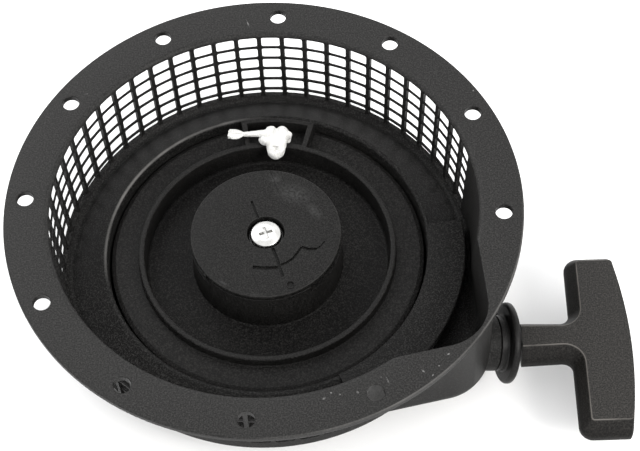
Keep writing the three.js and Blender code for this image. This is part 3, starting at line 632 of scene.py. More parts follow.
def outlet_outline(grow):
    """The outlet bulge seen from above: a flat end wall and a flat side wall with a round corner between."""
    end_angle, end_far, end_reach = OUTLET_END
    side_angle, side_far, side_reach = OUTLET_SIDE
    end, side, radius = end_far + grow, side_far + grow, OUTLET_CORNER_R + grow
    ex, ey = polar(1, end_angle)
    sx, sy = polar(1, side_angle)
    det = ex * sy - ey * sx
    cx = ((end - radius) * sy - (side - radius) * ey) / det
    cy = ((side - radius) * ex - (end - radius) * sx) / det

    def along(distance, angle, travel):
        nx, ny = polar(distance, angle)
        tx, ty = polar(travel, angle + 90)
        return (nx + tx, ny + ty)

    return [
        along(side, side_angle, side_reach - grow),
        *arc(cx, cy, radius, side_angle, end_angle, 24),
        along(end, end_angle, end_reach + grow),
        polar(CREST_R + 1, OUTLET_TO + grow / 2),
        polar(CREST_R + 1, (OUTLET_FROM + OUTLET_TO) / 2),
        polar(CREST_R + 1, OUTLET_FROM - grow / 2),
    ]


def outlet_body(offset, base, top, curve):
    """The outlet as a solid, with its lower edge rounded by `curve`."""
    levels = []
    for k in range(9):
        turn = math.radians(90 * k / 8)
        outline = outlet_outline(offset - curve * (1 - math.sin(turn)))
        levels.append([(x, y, base + curve * (1 - math.cos(turn))) for x, y in outline])
    levels.append([(x, y, top) for x, y in outlet_outline(offset)])
    return loft(levels)


def bell_windows():
    """Cutters for the windows through the wall, and for a slot behind each column that thins its rails."""
    windows = []
    slots = []
    high = TOP_ROW_Z + WINDOW_H / 2
    slope = (MOUTH_R - FOOT_R) / (HEIGHT - FOOT_Z)
    half_w = WINDOW_W / 2
    for column in range(MESH_USED):
        turn = turn_by(MESH_FIRST + column * column_step)
        for row in range(MESH_ROWS):
            middle = TOP_ROW_Z - row * ROW_PITCH
            low, top = max(middle - WINDOW_H / 2, WINDOW_LOW_Z), middle + WINDOW_H / 2
            shape = rounded([(y, z, WINDOW_CORNER_R) for y, z in
                             ((-half_w, low), (half_w, low), (half_w, top), (-half_w, top))], 2)
            loops = [[(r, y, z) for y, z in shape] for r in WINDOW_REACH]
            windows.append(moved(loft(loops), turn=turn))
        rise = (WINDOW_LOW_Z + 0.4, high - 0.6)
        face = [MOUTH_R - slope * (HEIGHT - z) + RAIL_T for z in rise]
        slot = [[(face[k], y, rise[k]) for y in (-half_w, half_w)] +
                [(THINNED_TO_R, y, rise[k]) for y in (half_w, -half_w)] for k in (0, 1)]
        slots.append(moved(loft(slot), turn=turn))
    return windows, slots


def make_housing():
    """The bell: a turned shell with the outlet bulge and ledge, the guide's boss, the mesh and the post."""
    well_out = CREST_R + SKIN_T
    outer = lathe(rounded([
        (0, 0), (WELL_FLOOR_R - 2, 0, 2), (well_out - 0.6, 4.5, 3), (well_out, CREST_Z - 6, 3),
        (FOOT_R + 1.4, FOOT_Z - SKIN_T, 3), (FOOT_R + WALL_T, FOOT_Z - 1, 2),
        (MOUTH_R + WALL_T, HEIGHT - FLANGE_T, 1.6), (FLANGE_R, HEIGHT - FLANGE_T, 0.7),
        (FLANGE_R, HEIGHT, 0.8), (0, HEIGHT),
    ]), BELL_SEGMENTS, fine_start)
    turn_r, turn_z = MOUTH_R + FLANGE_ROUND, HEIGHT - FLANGE_ROUND
    inside = lathe([*rounded([
        (0, 3), (WELL_FLOOR_R - 2.5, 3, 1.5), (WELL_FLOOR_R, 6.5, 1.5), (CREST_R - 0.05, CREST_Z + 0.75, 1.7),
        (FOOT_R - 3, FOOT_Z + 1.6, 3), (FOOT_R, FOOT_Z + 4.5, 2), (MOUTH_R, turn_z),
    ]), *arc(turn_r, turn_z, FLANGE_ROUND, 180, 90, 7), (turn_r, HEIGHT + 3), (0, HEIGHT + 3)],
                   BELL_SEGMENTS, fine_start)
    rim = disc_of(FLANGE_R - 0.3, OUTLET_BASE_Z, HEIGHT - 1, BELL_SEGMENTS, fine_start)
    bulge = combine("INTERSECT", outlet_body(OUTLET_SKIN, OUTLET_BASE_Z, HEIGHT - 1, OUTLET_ROUND), rim)

    boss_outline = [(0, BOSS_FROM), (BOSS_R, BOSS_FROM), (BOSS_R, BOSS_TO, 0.6), (0, BOSS_TO)]
    boss = moved(lathe(rounded(boss_outline), 64), turn=guide_place)
    bore = moved(disc_of(GUIDE_SPIGOT_R + 0.3, THROAT - 3, 10, 48), turn=guide_place)

    low, inner = CREST_Z - LEDGE_T, CREST_R - 0.25
    ledge = part_ring(rounded([(inner, low), (LEDGE_R, low, 0.5), (LEDGE_R, CREST_Z, 0.9),
                               (inner, CREST_Z, 1.1)]), OUTLET_FROM - 3, OUTLET_TO + 3, 60)
    webs = [part_ring([(CREST_R, OUTLET_BASE_Z + 1), (LEDGE_R, OUTLET_BASE_Z + 1), (LEDGE_R, CREST_Z - 0.6),
                       (CREST_R, CREST_Z - 0.6)], start, end, 3)
            for start, end in ((OUTLET_FROM - 3, OUTLET_FROM), (OUTLET_TO, OUTLET_TO + 3))]
    ledge = join(ledge, *webs)
    well_wall = disc_of(well_out, 0, CREST_Z, BELL_SEGMENTS, fine_start)
    pocket = cut(outlet_body(0, OUTLET_BASE_Z + OUTLET_SKIN, HEIGHT + 2, OUTLET_ROUND - OUTLET_SKIN),
                 well_wall, ledge)
    half = ROPE_SLOT_HALF_W
    slot = prism([(0, -half), (ROPE_SLOT_L, -half), (ROPE_SLOT_L, half), (0, half)], ROPE_SLOT_Z,
                 ROPE_SLOT_Z + ROPE_SLOT_H)
    slot = moved(slot, (*rope_start, 0), Matrix.Rotation(rope_lean, 4, "Z"))
    slot = cut(slot, disc_of(WELL_FLOOR_R - 1, 0, HEIGHT, BELL_SEGMENTS, fine_start))

    shell = join(outer, bulge, boss)
    shell = join(cut(shell, inside), ledge)
    shell = cut(shell, pocket, slot, bore)
    windows, slots = bell_windows()
    shell = cut(shell, together(windows), together(slots))
    holes = []
    for i in range(HOLE_COUNT):
        hole = lathe([(0, HEIGHT - 7), (BOLT_HOLE_R, HEIGHT - 7), (BOLT_HOLE_R, HEIGHT - 0.4),
                      (BOLT_HOLE_R + 0.6, HEIGHT + 0.2), (BOLT_HOLE_R + 0.6, HEIGHT + 3),
                      (0, HEIGHT + 3)], 40)
        holes.append(moved(hole, (*polar(BOLT_CIRCLE_R, HOLE_STEP * i), 0)))
    shell = cut(shell, together(holes))
    post = lathe(rounded([
        (0, 2), (POST_FOOT_R, 2), (POST_ROOT_R, 6, 2), (POST_ROOT_R, POST_SHOULDER_Z, 0.5),
        (POST_R, POST_SHOULDER_Z, 0.4), (POST_R, POST_NECK_Z, 0.4), (POST_NECK_R, POST_NECK_Z, 0.3),
        (POST_NECK_R, POST_TOP_Z, 0.4), (INSERT_R, POST_TOP_Z, 0.3), (INSERT_R, INSERT_LOW_Z),
        (0, INSERT_LOW_Z),
    ], 3), 56)
    return join(shell, post)


# ---------- reel
REEL_R = 81.0
REEL_CHAMFER = 2.2
RIM_R = 66.5
RIM_IN_R = 63.5
RIM_Z = 40.0
UPPER_Z = 34.3
REEL_FLANGE_T = 2.4
GROOVE_LOW_Z = 20.9
SKIRT_Z = 8.0
WEB_Z = 26.4
WEB_T = 2.5
DRUM_R = 38.5
DRUM_WALL = 3.0
DRUM_TOP_Z = 51.0
DECK_Z = 46.5
DECK_T = 2.5
HUB_BORE_R = 9.3
HUB_R = 13.0
POCKET_FROM = 75.4
POCKET_TO = 103.7
POCKET_OUT_R = 80.5
POCKET_WALL = 2.6
POCKET_TOP_Z = 42.7
KNOT_R = 72.5
KNOT_ANGLE = 88.5
PAWL_PIVOT_R = 27.0
PAWL_ANGLES = (180.0, 0.0)
PAWL_REACH = 39.0
PAWL_OUT_R = 37.8
PAWL_T = 3.7
PAWL_Z = 46.9
PAWL_SWING = 25.0
PEG_R = 1.5
PEG_PLACE = polar(PAWL_OUT_R - 3, 0.62 * PAWL_REACH)
PLATE_R = 38.6
PLATE_Z = 51.3
PLATE_TOP_Z = 54.5
WINDOW_BEHIND = 50.0
WINDOW_AHEAD = 7.0
EAR_R = 70.0
EAR_LOW_Z = 8
EAR_TOP_Z = 19.9
EAR_BOSS_R = 4.6
EAR_HOLE_R = 1.9
PIN_R = 2.8
PIVOT_BOSS_R = 7.2
PIVOT_BOSS_LOW_Z = 39.5
PIVOT_BOSS_TOP_Z = 45.5
PIN_SEAT_Z = 41
SPRING_SEAT_R = 5.3
SPRING_SEAT_Z = 43.2
KNOT_HOLE_R = 3.1
BRAKE_SEAT_R = 12.1
BRAKE_SEAT_Z = 43.4
CLEAR = 2  # how far a cutter stands past the face it opens


def make_reel():
    """The rope reel: two flanges and the groove, the raised rim, the drum, the knot's pocket and the ears."""
    outline = rounded([
        (HUB_R, WEB_Z - WEB_T), (HUB_R, DECK_Z - DECK_T), (DRUM_R - DRUM_WALL, DECK_Z - DECK_T),
        (DRUM_R - DRUM_WALL, WEB_Z - WEB_T), (RIM_IN_R, WEB_Z - WEB_T), (RIM_IN_R, SKIRT_Z),
        (RIM_R, SKIRT_Z), (RIM_R, GROOVE_LOW_Z - REEL_FLANGE_T), (REEL_R, GROOVE_LOW_Z - REEL_FLANGE_T, 0.4),
        (REEL_R, GROOVE_LOW_Z, 0.4), (RIM_R, GROOVE_LOW_Z), (RIM_R, UPPER_Z - REEL_FLANGE_T),
        (REEL_R, UPPER_Z - REEL_FLANGE_T, 0.4), (REEL_R, UPPER_Z - REEL_CHAMFER / 2, 0.4),
        (REEL_R - REEL_CHAMFER, UPPER_Z, 0.9), (RIM_R, UPPER_Z, 0.8),
        (RIM_R, RIM_Z, 0.9), (RIM_IN_R, RIM_Z, 0.9), (RIM_IN_R - 0.4, WEB_Z, 2.2), (DRUM_R + 0.3, WEB_Z, 1.0),
        (DRUM_R, DRUM_TOP_Z, 0.4), (DRUM_R - 0.6, DRUM_TOP_Z), (DRUM_R - 0.6, DECK_Z),
        (BRAKE_SEAT_R, DECK_Z), (BRAKE_SEAT_R, BRAKE_SEAT_Z), (HUB_BORE_R, BRAKE_SEAT_Z),
        (HUB_BORE_R, WEB_Z - WEB_T),
    ])
    reel = lathe(outline, 180)
    for angle in PAWL_ANGLES:
        opens = angle - WINDOW_BEHIND
        closes = angle + PAWL_REACH + WINDOW_AHEAD
        lip = part_ring([(DRUM_R - DRUM_WALL, DECK_Z - 1), (DRUM_R - 0.3, DECK_Z - 1),
                         (DRUM_R - 0.3, DRUM_TOP_Z - 0.1), (DRUM_R - DRUM_WALL, DRUM_TOP_Z - 0.1)],
                        closes + 1, opens + 179, 36)
        gap = part_ring([(DRUM_R - 1.5, DECK_Z + 0.1), (DRUM_R + CLEAR, DECK_Z + 0.1),
                         (DRUM_R + CLEAR, DRUM_TOP_Z + CLEAR), (DRUM_R - 1.5, DRUM_TOP_Z + CLEAR)],
                        opens, closes, 36)
        reel = cut(join(reel, lip), gap)
        spot = (*polar(PAWL_PIVOT_R, angle), 0)
        boss = disc_of(PIVOT_BOSS_R, PIVOT_BOSS_LOW_Z, PIVOT_BOSS_TOP_Z, 32)
        seat = lathe([(0, PIN_SEAT_Z), (PIN_R, PIN_SEAT_Z), (PIN_R, SPRING_SEAT_Z),
                      (SPRING_SEAT_R, SPRING_SEAT_Z), (SPRING_SEAT_R, DECK_Z + 1.5), (0, DECK_Z + 1.5)], 32)
        reel = cut(join(reel, moved(boss, spot)), moved(seat, spot))
    low = UPPER_Z - REEL_FLANGE_T
    side = math.degrees(POCKET_WALL / KNOT_R)
    inner = POCKET_OUT_R - POCKET_WALL
    block = part_ring(rounded([(RIM_R - 1, low), (POCKET_OUT_R, low, 0.4), (POCKET_OUT_R, POCKET_TOP_Z, 0.5),
                               (inner, POCKET_TOP_Z, 0.3), (RIM_R, RIM_Z), (RIM_R - 1, RIM_Z)]),
                      POCKET_FROM, POCKET_TO, 28)
    above = POCKET_TOP_Z + CLEAR
    hollow = part_ring([(RIM_R, UPPER_Z), (inner, UPPER_Z), (inner, above), (RIM_R, above)],
                       POCKET_FROM + side, POCKET_TO - side, 24)
    reel = cut(join(reel, block), hollow)
    knot_hole = disc_of(KNOT_HOLE_R, low - CLEAR, UPPER_Z + CLEAR, 32)
    reel = cut(reel, moved(knot_hole, (*polar(KNOT_R, KNOT_ANGLE), 0)))
    for i in range(3):
        spot = (*polar(EAR_R, 30 + 120 * i), 0)
        reel = join(reel, moved(disc_of(EAR_BOSS_R, EAR_LOW_Z, EAR_TOP_Z, 28), spot))
        reel = cut(reel, moved(disc_of(EAR_HOLE_R, EAR_LOW_Z - 1, EAR_TOP_Z - 3, 20), spot))
    return reel


# ---------- friction disc, pawls, screw
DISC_HUB_R = 11.5
DISC_BORE_R = 6.3
DISC_LOW_Z = 48.2
WELL_R = 9.6  # the screw's head sits in it
WELL_Z = 49.5
PIP_PLACE = (14.5, -30.7, 0)
SLOT_STEPS = 16
# Cracks and scratches in the disc's face: points, width, depth.
DISC_SCORES = [
    (((-8.6, 18.8), (-6.4, 13.2), (-3.7, 6.8)), 1.2, 1.1),
    (((4.1, -9.1), (7.3, -17.0), (8.6, -21.4), (10.4, -26.2)), 1.6, 1.3),
    (((-5.2, -21.0), (0.5, -21.4), (8.2, -20.9)), 2.0, 1.3),
    (((9.0, -19.2), (12.0, -17.6), (14.9, -15.1), (17.0, -11.6), (18.8, -8.3)), 1.3, 1.1),
    (((18.8, -8.3), (22.4, -9.4), (26.4, -9.0)), 1.6, 1.1),
    (((26.4, -9.0), (28.6, -7.2), (30.3, -4.5)), 0.8, 0.6),
    (((-5.6, -23.5), (-3.2, -29.0), (-0.6, -34.7)), 0.35, 0.25),
    (((-0.2, 38.2), (2.6, 31.0), (5.2, 23.9)), 0.35, 0.25),
]
HEAD_R = 8.3
HEAD_LOW_Z = 51.2
HEAD_TOP_Z = 54.2
HEAD_TURN = 20
SHANK_R = 2.4
SHANK_LOW_Z = 32
CROSS_HALF_L = 3.5
CROSS_HALF_W = 0.8
WASHER_R = 8.8
WASHER_HOLE_R = 2.9
WASHER_LOW_Z = 49.9
WASHER_TOP_Z = 50.9


def stroke(points, width, low, high):
    """A cutter along a line of points, of one width, with blunt ends."""
    left, right = [], []
    for i, (x, y) in enumerate(points):
        ax, ay = points[max(i - 1, 0)]
        bx, by = points[min(i + 1, len(points) - 1)]
        length = math.hypot(bx - ax, by - ay)
        nx, ny = -(by - ay) / length * width / 2, (bx - ax) / length * width / 2
        left.append((x + nx, y + ny))
        right.append((x - nx, y - ny))
    return prism(left + right[::-1], low, high)


def cam_slot(angle):
    """Cutters for the groove under the disc that a pawl's peg slides in as both turn."""
    px, py = PEG_PLACE[0] - PAWL_PIVOT_R, PEG_PLACE[1]
    path = []
    for i in range(SLOT_STEPS + 1):
        swing = -PAWL_SWING * i / SLOT_STEPS
        c, s = math.cos(math.radians(swing)), math.sin(math.radians(swing))
        spot = Vector((PAWL_PIVOT_R + px * c - py * s, px * s + py * c))
        path.append(tuple(Matrix.Rotation(math.radians(angle - swing), 2) @ spot))
    low, high, half = PLATE_Z - 1, PLATE_Z + CLEAR, PEG_R + 1
    ends = [moved(disc_of(half, low, high, 28), (x, y, 0)) for x, y in (path[0], path[-1])]
    return [stroke(path, 2 * half, low, high), *ends]


def make_disc():
    """The friction disc, with cam slots below, and score marks and a small pip on its face."""
    disc = lathe(rounded([
        (DISC_BORE_R, DISC_LOW_Z), (DISC_HUB_R, DISC_LOW_Z, 0.4), (DISC_HUB_R, PLATE_Z),
        (PLATE_R, PLATE_Z, 0.5), (PLATE_R, PLATE_TOP_Z, 0.9), (WELL_R, PLATE_TOP_Z, 0.5), (WELL_R, WELL_Z),
        (DISC_BORE_R, WELL_Z),
    ]), 160)
    for angle in PAWL_ANGLES:
        disc = cut(disc, *cam_slot(angle))
    top = PLATE_TOP_Z + 1
    for points, width, depth in DISC_SCORES:
        disc = cut(disc, stroke(points, width, PLATE_TOP_Z - depth, top))
    ring = lathe([(1.5, PLATE_TOP_Z - 0.5), (2.6, PLATE_TOP_Z - 0.5), (2.2, PLATE_TOP_Z + 0.35),
                  (1.8, PLATE_TOP_Z + 0.35)], 32)
    pit = disc_of(1.7, PLATE_TOP_Z - 0.7, top, 24)
    return cut(join(disc, moved(ring, PIP_PLACE)), moved(pit, PIP_PLACE))


def make_pawl(angle):
    """A flat curved arm with an eye on its pin and a peg up into the disc's cam slot."""
    outer = arc(0, 0, PAWL_OUT_R, 18, PAWL_REACH, 16)
    inner = arc(0, 0, PAWL_OUT_R - 5.2, PAWL_REACH - 4, 16, 12)
    arm = prism([(PAWL_PIVOT_R + 4.6, -1), *outer, *inner, (PAWL_PIVOT_R - 3, 3)], PAWL_Z, PAWL_Z + PAWL_T)
    eye = moved(lathe(rounded([(0, PAWL_Z), (5.4, PAWL_Z, 0.3), (5.4, PAWL_Z + PAWL_T, 0.3),
                               (0, PAWL_Z + PAWL_T)]), 40), (PAWL_PIVOT_R, 0, 0))
    hole = moved(disc_of(PIN_R, PAWL_Z - CLEAR, PAWL_Z + PAWL_T + CLEAR, 28), (PAWL_PIVOT_R, 0, 0))
    peg = moved(lathe(rounded([(0, PAWL_Z + 3), (PEG_R, PAWL_Z + 3), (PEG_R, PLATE_Z + 1.6, 0.3),
                               (0, PLATE_Z + 1.6)]), 20), (*PEG_PLACE, 0))
    pawl = join(cut(join(arm, eye), hole), peg)
    return moved(pawl, turn=turn_by(angle))


def make_screw():
    """The centre screw: a low domed head with a tapering cross recess."""
    under, top = HEAD_LOW_Z, HEAD_TOP_Z
    head = lathe(rounded([(0, under), (HEAD_R - 0.3, under, 0.3), (HEAD_R, under + 0.6, 0.4),
                          (HEAD_R - 0.7, top - 0.7, 0.9), (HEAD_R - 3.3, top, 1.8), (0, top)]), 72)
    shank = lathe([(0, SHANK_LOW_Z), (SHANK_R, SHANK_LOW_Z + 0.6), (SHANK_R, under + 0.5),
                   (0, under + 0.5)], 32)
    screw = join(head, shank)
    for turn in (HEAD_TURN, HEAD_TURN + 90):
        loops = []
        for z, share in ((top - 1.6, 0.62), (top - 1.0, 0.86), (top + 0.5, 1.08)):
            x, y = CROSS_HALF_L * share, CROSS_HALF_W * share
            loops.append([(-x, -y, z), (x, -y, z), (x, y, z), (-x, y, z)])
        screw = cut(screw, moved(loft(loops), turn=turn_by(turn)))
    return screw


def make_washer():
    return lathe(rounded([
        (WASHER_HOLE_R, WASHER_LOW_Z, 0.1), (WASHER_R, WASHER_LOW_Z, 0.2),
        (WASHER_R, WASHER_TOP_Z, 0.2), (WASHER_HOLE_R, WASHER_TOP_Z, 0.1),
    ], 3), 64)


# ---------- guide, handle
def make_guide():
    """The bush in the outlet's end wall: a spigot, a flange disc and a rounded mouth."""
    seat = BOSS_TO + 0.3
    face = GUIDE_DISC_T / 2
    outline = rounded([
        (GUIDE_BORE_R + 2, GUIDE_SPIGOT_FROM, 0.4), (GUIDE_SPIGOT_R, GUIDE_SPIGOT_FROM, 0.5),
        (GUIDE_SPIGOT_R, seat), (BOSS_R, seat, 0.4), (BOSS_R, -face, 1.0), (GUIDE_DISC_R, -face, 1.7),
        (GUIDE_DISC_R, face, 1.7), (GUIDE_BORE_R + 3.6, face, 0.8), (GUIDE_BORE_R + 2.4, face + 1.4, 0.8),
        (GUIDE_BORE_R + 0.4, face + 1.4, 0.8), (GUIDE_BORE_R, face - 0.6, 1),
        (GUIDE_BORE_R, GUIDE_SPIGOT_FROM + 2.6, 1),
    ], 6)
    return moved(lathe(outline, 96), turn=guide_place)


HANDLE_X = 131.8
HANDLE_Y = EXIT_Y - 1.2
HANDLE_YAW = 4.0
STEM_HALF = 5.75
BAR_FROM, BAR_TO = 29.0, 53.8
BAR_LOW, BAR_HIGH = -48.6, 43.6
BAR_BOW = 3.9
BAR_BOW_AT = -9.0
FACE_DRAFT = 0.1  # share of the sides' slope that the outer face keeps
HANDLE_SIDE = 5.0
FILLET_R = 10.0
STEM_FROM = -1.5
PLUG_R = 8.0
KNOT_SEAT = 37
BAR_CORNER_R = 2
TOP_INSET = 1.1
# The sides' upper half: heights, and how far out each stands from the top's outline.
SIDE_PROFILE = [
    (10.0, -TOP_INSET), (9.92, -TOP_INSET * 0.62), (9.62, -TOP_INSET * 0.25), (9.1, 0.12), (8.4, 0.62),
    (6.6, 1.9), (4.6, 3.3), (3.0, 4.25), (1.9, 4.75), (1.2, 4.95), (0.5, HANDLE_SIDE),
]
handle_place = Matrix.Translation((HANDLE_X, HANDLE_Y, EXIT_Z)) @ turn_by(HANDLE_YAW)


def outer_face(v):
    """Where the bar's bowed outer face stands at v along the bar."""
    return BAR_TO - HANDLE_SIDE * FACE_DRAFT - 0.05 - BAR_BOW * ((v - BAR_BOW_AT) / BAR_HIGH) ** 2


def handle_outline():
    """The flat top's outline, as a closed list of points with their outward directions."""
    corner = BAR_CORNER_R
    low, high = BAR_LOW + corner, BAR_HIGH - corner
    bow = []
    for i in range(1, 24):
        v = low + (high - low) * i / 24
        bow.append((outer_face(v), v))
    points = [
        (STEM_FROM + 0.5, -STEM_HALF - 0.6),
        *arc(BAR_FROM - FILLET_R, -STEM_HALF - FILLET_R, FILLET_R, 90, 0, 14),
        *arc(BAR_FROM + corner, low, corner, 180, 270, 6),
        *arc(outer_face(low) - corner, low, corner, 270, 350, 5),
        *bow,
        *arc(outer_face(high) - corner, high, corner, 10, 90, 5),
        *arc(BAR_FROM + corner, high, corner, 90, 180, 6),
        *arc(BAR_FROM - FILLET_R, STEM_HALF + FILLET_R, FILLET_R, 0, -90, 14),
        (STEM_FROM + 0.5, STEM_HALF + 0.6),
    ]
    made = []
    for i, point in enumerate(points):
        here = Vector(point)
        before = (here - Vector(points[i - 1])).normalized()
        after = (Vector(points[(i + 1) % len(points)]) - here).normalized()
        first, second = Vector((before.y, -before.x)), Vector((after.y, -after.x))
        middle_way = (first + second).normalized()
        way = middle_way / max(0.5, middle_way.dot(first))
        if way.x > 0 and here.x > (BAR_FROM + BAR_TO) / 2 or here.x < 1:
            way.x *= FACE_DRAFT
        made.append((here, way))
    return made


def make_handle():
    """The T-handle with its rope bore and, from the outer face, the hollow for the knot and the plug."""
    outline = handle_outline()
    levels = SIDE_PROFILE + [(-z, out) for z, out in reversed(SIDE_PROFILE)]
    loops = [[(*(point + way * out), z) for point, way in outline] for z, out in levels]
    handle = loft(loops)
    to_x = turn_by(90, "Y")
    bore = moved(lathe([(0, -4), (ROPE_R + 1.6, -4), (ROPE_R + 1.6, -1.2), (ROPE_R + 0.9, -0.3),
                        (ROPE_R + 0.9, 40), (0, 40)], 32), turn=to_x)
    cavity = moved(disc_of(PLUG_R, KNOT_SEAT, BAR_TO + CLEAR, 48), turn=to_x)
    return moved(cut(handle, bore, cavity), turn=handle_place)


def make_plug():
    plug = lathe(rounded([(0, BAR_TO - 4), (PLUG_R - 0.3, BAR_TO - 4), (PLUG_R - 0.3, BAR_TO - 0.7, 0.7),
                          (0, BAR_TO - 0.7)]), 48)
    plug = cut(plug, moved(lathe([(0, BAR_TO - 1.5), (3.2, BAR_TO - 1.5), (3.6, BAR_TO), (0, BAR_TO)], 32)))
    return moved(plug, turn=handle_place @ turn_by(90, "Y"))


# ---------- rope
COIL_R = 69.4
COIL_TURNS = 2.0
COIL_LOW_Z = 23.8
COIL_RISE = 5.0
COIL_STEPS = 260
COIL_ROPE_R = 2.42
TUFT_AT = (-16.8, 68.6, 43.7)
TUFT_END = (-24.4, 68.5, 43.6)
TUFT_STRANDS = 40
HANDLE_KNOT_AT = 43.5


def rope_route():
    """The rope's middle line: off the reel, through the guide's throat and up the handle's bore."""
    start = Vector((*rope_start, ROPE_Z))
    length = math.sqrt(throat_reach ** 2 - TANGENT_R ** 2)
    run = Vector((math.cos(rope_lean) * length, math.sin(rope_lean) * length, throat.z - THROAT_SAG - ROPE_Z))
    points = [tuple(start + run * share) for share in (0, 0.3, 0.6, 0.88)]
    for along, sag in ((THROAT + 4, THROAT_SAG), (THROAT + 9, THROAT_SAG / 2)):
        points.append(tuple(guide_place @ Vector((0, 0, along)) - Vector((0, 0, sag))))
    points.append((GUIDE_X, EXIT_Y - 0.2, EXIT_Z + 0.2))
    points += [tuple(handle_place @ Vector((u, 0, 0))) for u in (2, 16, KNOT_SEAT + 0.6)]
    return smooth_path(points, 24)


def make_coil():
    """The rope's turns in the reel's groove."""
    points = []
    for i in range(COIL_STEPS + 1):
        share = i / COIL_STEPS
        points.append((*polar(COIL_R, KNOT_ANGLE - 360 * COIL_TURNS * share), COIL_LOW_Z + COIL_RISE * share))
    return tube(points, COIL_ROPE_R, 16, 0.12)


def make_knot():
    """A stopper knot: a fat coil in the pocket, a closed lobe over the rim and a frayed tail."""
    coil = [(1.9, 72.5, 31.2), (1.9, 72.6, 35.0), (3.6, 72.6, 38.0)]
    for k in range(23):
        turn = math.radians(200 - 34 * k)
        coil.append((5.8 - 12.2 * k / 22, 69.9 + 2.3 * math.sin(turn), 41.7 + 2.2 * math.cos(turn)))
    lobe = [(3.6, 70.0, 42.6), (3.7, 66.0, 43.4), (3.4, 61.8, 42.6), (2.5, 59.0, 41.2), (0.9, 58.0, 40.7),
            (-0.7, 59.0, 41.2), (-1.5, 61.8, 42.6), (-1.9, 66.0, 43.4), (-2.2, 70.0, 42.6)]
    cross = [(7.2, 71.6, 39.6), (5.9, 69.6, 42.2), (2.6, 66.8, 43.9), (-2.4, 64.9, 43.6), (-5.9, 65.9, 42.4),
             (-6.7, 69.2, 41.0)]
    core = [(0.9, 71.0, 42.6), (0.9, 66.0, 43.8), (0.9, 61.0, 42.6)]
    tail = [(-4.6, 69.4, 44.0), (-8.4, 68.9, 44.2), (-12.6, 68.7, 43.9), (-16.2, 68.6, 43.7),
            (-18.4, 68.5, 43.6)]
    pieces = [
        tube(smooth_path(coil, 8), 2.65, 20, 0.2),
        tube(smooth_path(lobe, 10), 2.7, 20, 0.2),
        tube(smooth_path(cross, 10), lambda share: 2.6 - 1.2 * abs(2 * share - 1) ** 6, 20, 0.2),
        tube(smooth_path(core, 10), 3.1, 20, 0.2),
        tube(smooth_path(tail, 10), lambda share: 2.0 - 1.0 * share, 16, 0.15),
    ]
    for i in range(TUFT_STRANDS):
        turn = 4 * math.pi * i / TUFT_STRANDS
        c, s = math.cos(turn), math.sin(turn)
        spread = random.uniform(0.2, 1.0)
        end = Vector(TUFT_END) + Vector((-random.uniform(-1.6, 0.9), 2.6 * spread * c, 1.6 * spread * s))
        start = Vector(TUFT_AT) + Vector((0, 0.4 * c, 0.4 * s))
        middle = start.lerp(end, 0.5) + Vector((0, 0.9 * spread * c, 0.6 * spread * s))
        pieces.append(tube(smooth_path([start, middle, end], 5), lambda share: 0.62 + 0.1 * share, 7))
    return together(pieces)


def make_handle_knot():
    """A trefoil knot across the handle's hollow."""
    points = []
    for i in range(61):
        turn = 2 * math.pi * i / 60
        x = math.sin(turn) + 2 * math.sin(2 * turn)
        y = math.cos(turn) - 2 * math.cos(2 * turn)
        points.append((HANDLE_KNOT_AT + 1.3 * math.sin(3 * turn), 1.35 * x, 1.35 * y))
    return moved(tube(points[:-1], 1.9, 14, 0.12), turn=handle_place)


# ---------- marks and painted highlight lines
# Scuffs: their height, and (x, y, length, width, turn). Painted highlight lines: (radius, height, width,
# side, share).
FLANGE_MARKS = (HEIGHT, [
    (51.5, -103.9, 1.6, 1.4, 0), (35.8, -107.7, 2.4, 1.2, 30), (39.0, -104.6, 1.2, 0.9, 0),
    (65.3, -97.0, 4.6, 0.8, -66), (62.2, -95.4, 1.0, 1.0, 0), (81.8, -91.4, 3.0, 1.0, -40),
    (86.6, -93.5, 1.6, 0.9, 60), (89.4, -88.4, 1.2, 0.8, 0), (93.7, -81.9, 1.8, 1.0, 20),
    (-15.6, 114.6, 6.0, 0.7, -68), (127.9, -25.2, 2.2, 1.4, 80), (43.2, -105.3, 0.9, 0.9, 0),
    (-58.0, -101.5, 1.4, 0.8, 40), (-96.5, 66.0, 2.2, 0.6, 10), (104.0, 74.0, 1.4, 0.8, 70),
])
DISC_MARKS = (PLATE_TOP_Z, [
    (13.0, 24.0, 26.0, 15.0, -18), (2.5, 33.0, 9.0, 8.0, -20), (24.0, 14.0, 16.0, 7.0, -50),
    (-19.8, -30.4, 9.0, 2.0, -33), (-2.9, -37.0, 7.0, 1.6, -6),
])
# Painted highlights: a bright line on the crest's round edge and on the flange's outer rim, on their lit
# sides.
CREST_HIGHLIGHT = (CREST_R + 0.7, CREST_Z, 1.4, 145.0, 1.0)
RIM_HIGHLIGHT = (129.6, HEIGHT, 0.5, -38.0, 0.45)


# ---------- build
make_camera()
make_world(1.75)
add_softbox("key", (0.95, -0.75, 1.0), 0.5, 13.0, (1.0, 0.98, 0.95))
add_softbox("back_left_fill", (-0.7, 0.9, 1.3), 0.8, 6.5, (0.98, 0.99, 1.0))
bpy.context.scene.view_settings.view_transform = "Standard"

# The shell gets painted shade deeper in the bell and painted highlight lines on the crest and the flange's
# rim.
shell_paint = moulded_plastic("shell_plastic", (0.0110, 0.0107, 0.0103), 0.50, 0.17, depth=(0.040, 0.078),
                              highlight_rings=[CREST_HIGHLIGHT, RIM_HIGHLIGHT], marks=FLANGE_MARKS, mark_tone=0.16)
# The reel gets painted shade lower down, deep in the bell.
reel_paint = moulded_plastic("reel_plastic", (0.0076, 0.0073, 0.0070), 0.50, 0.12, depth=(0.024, 0.041))
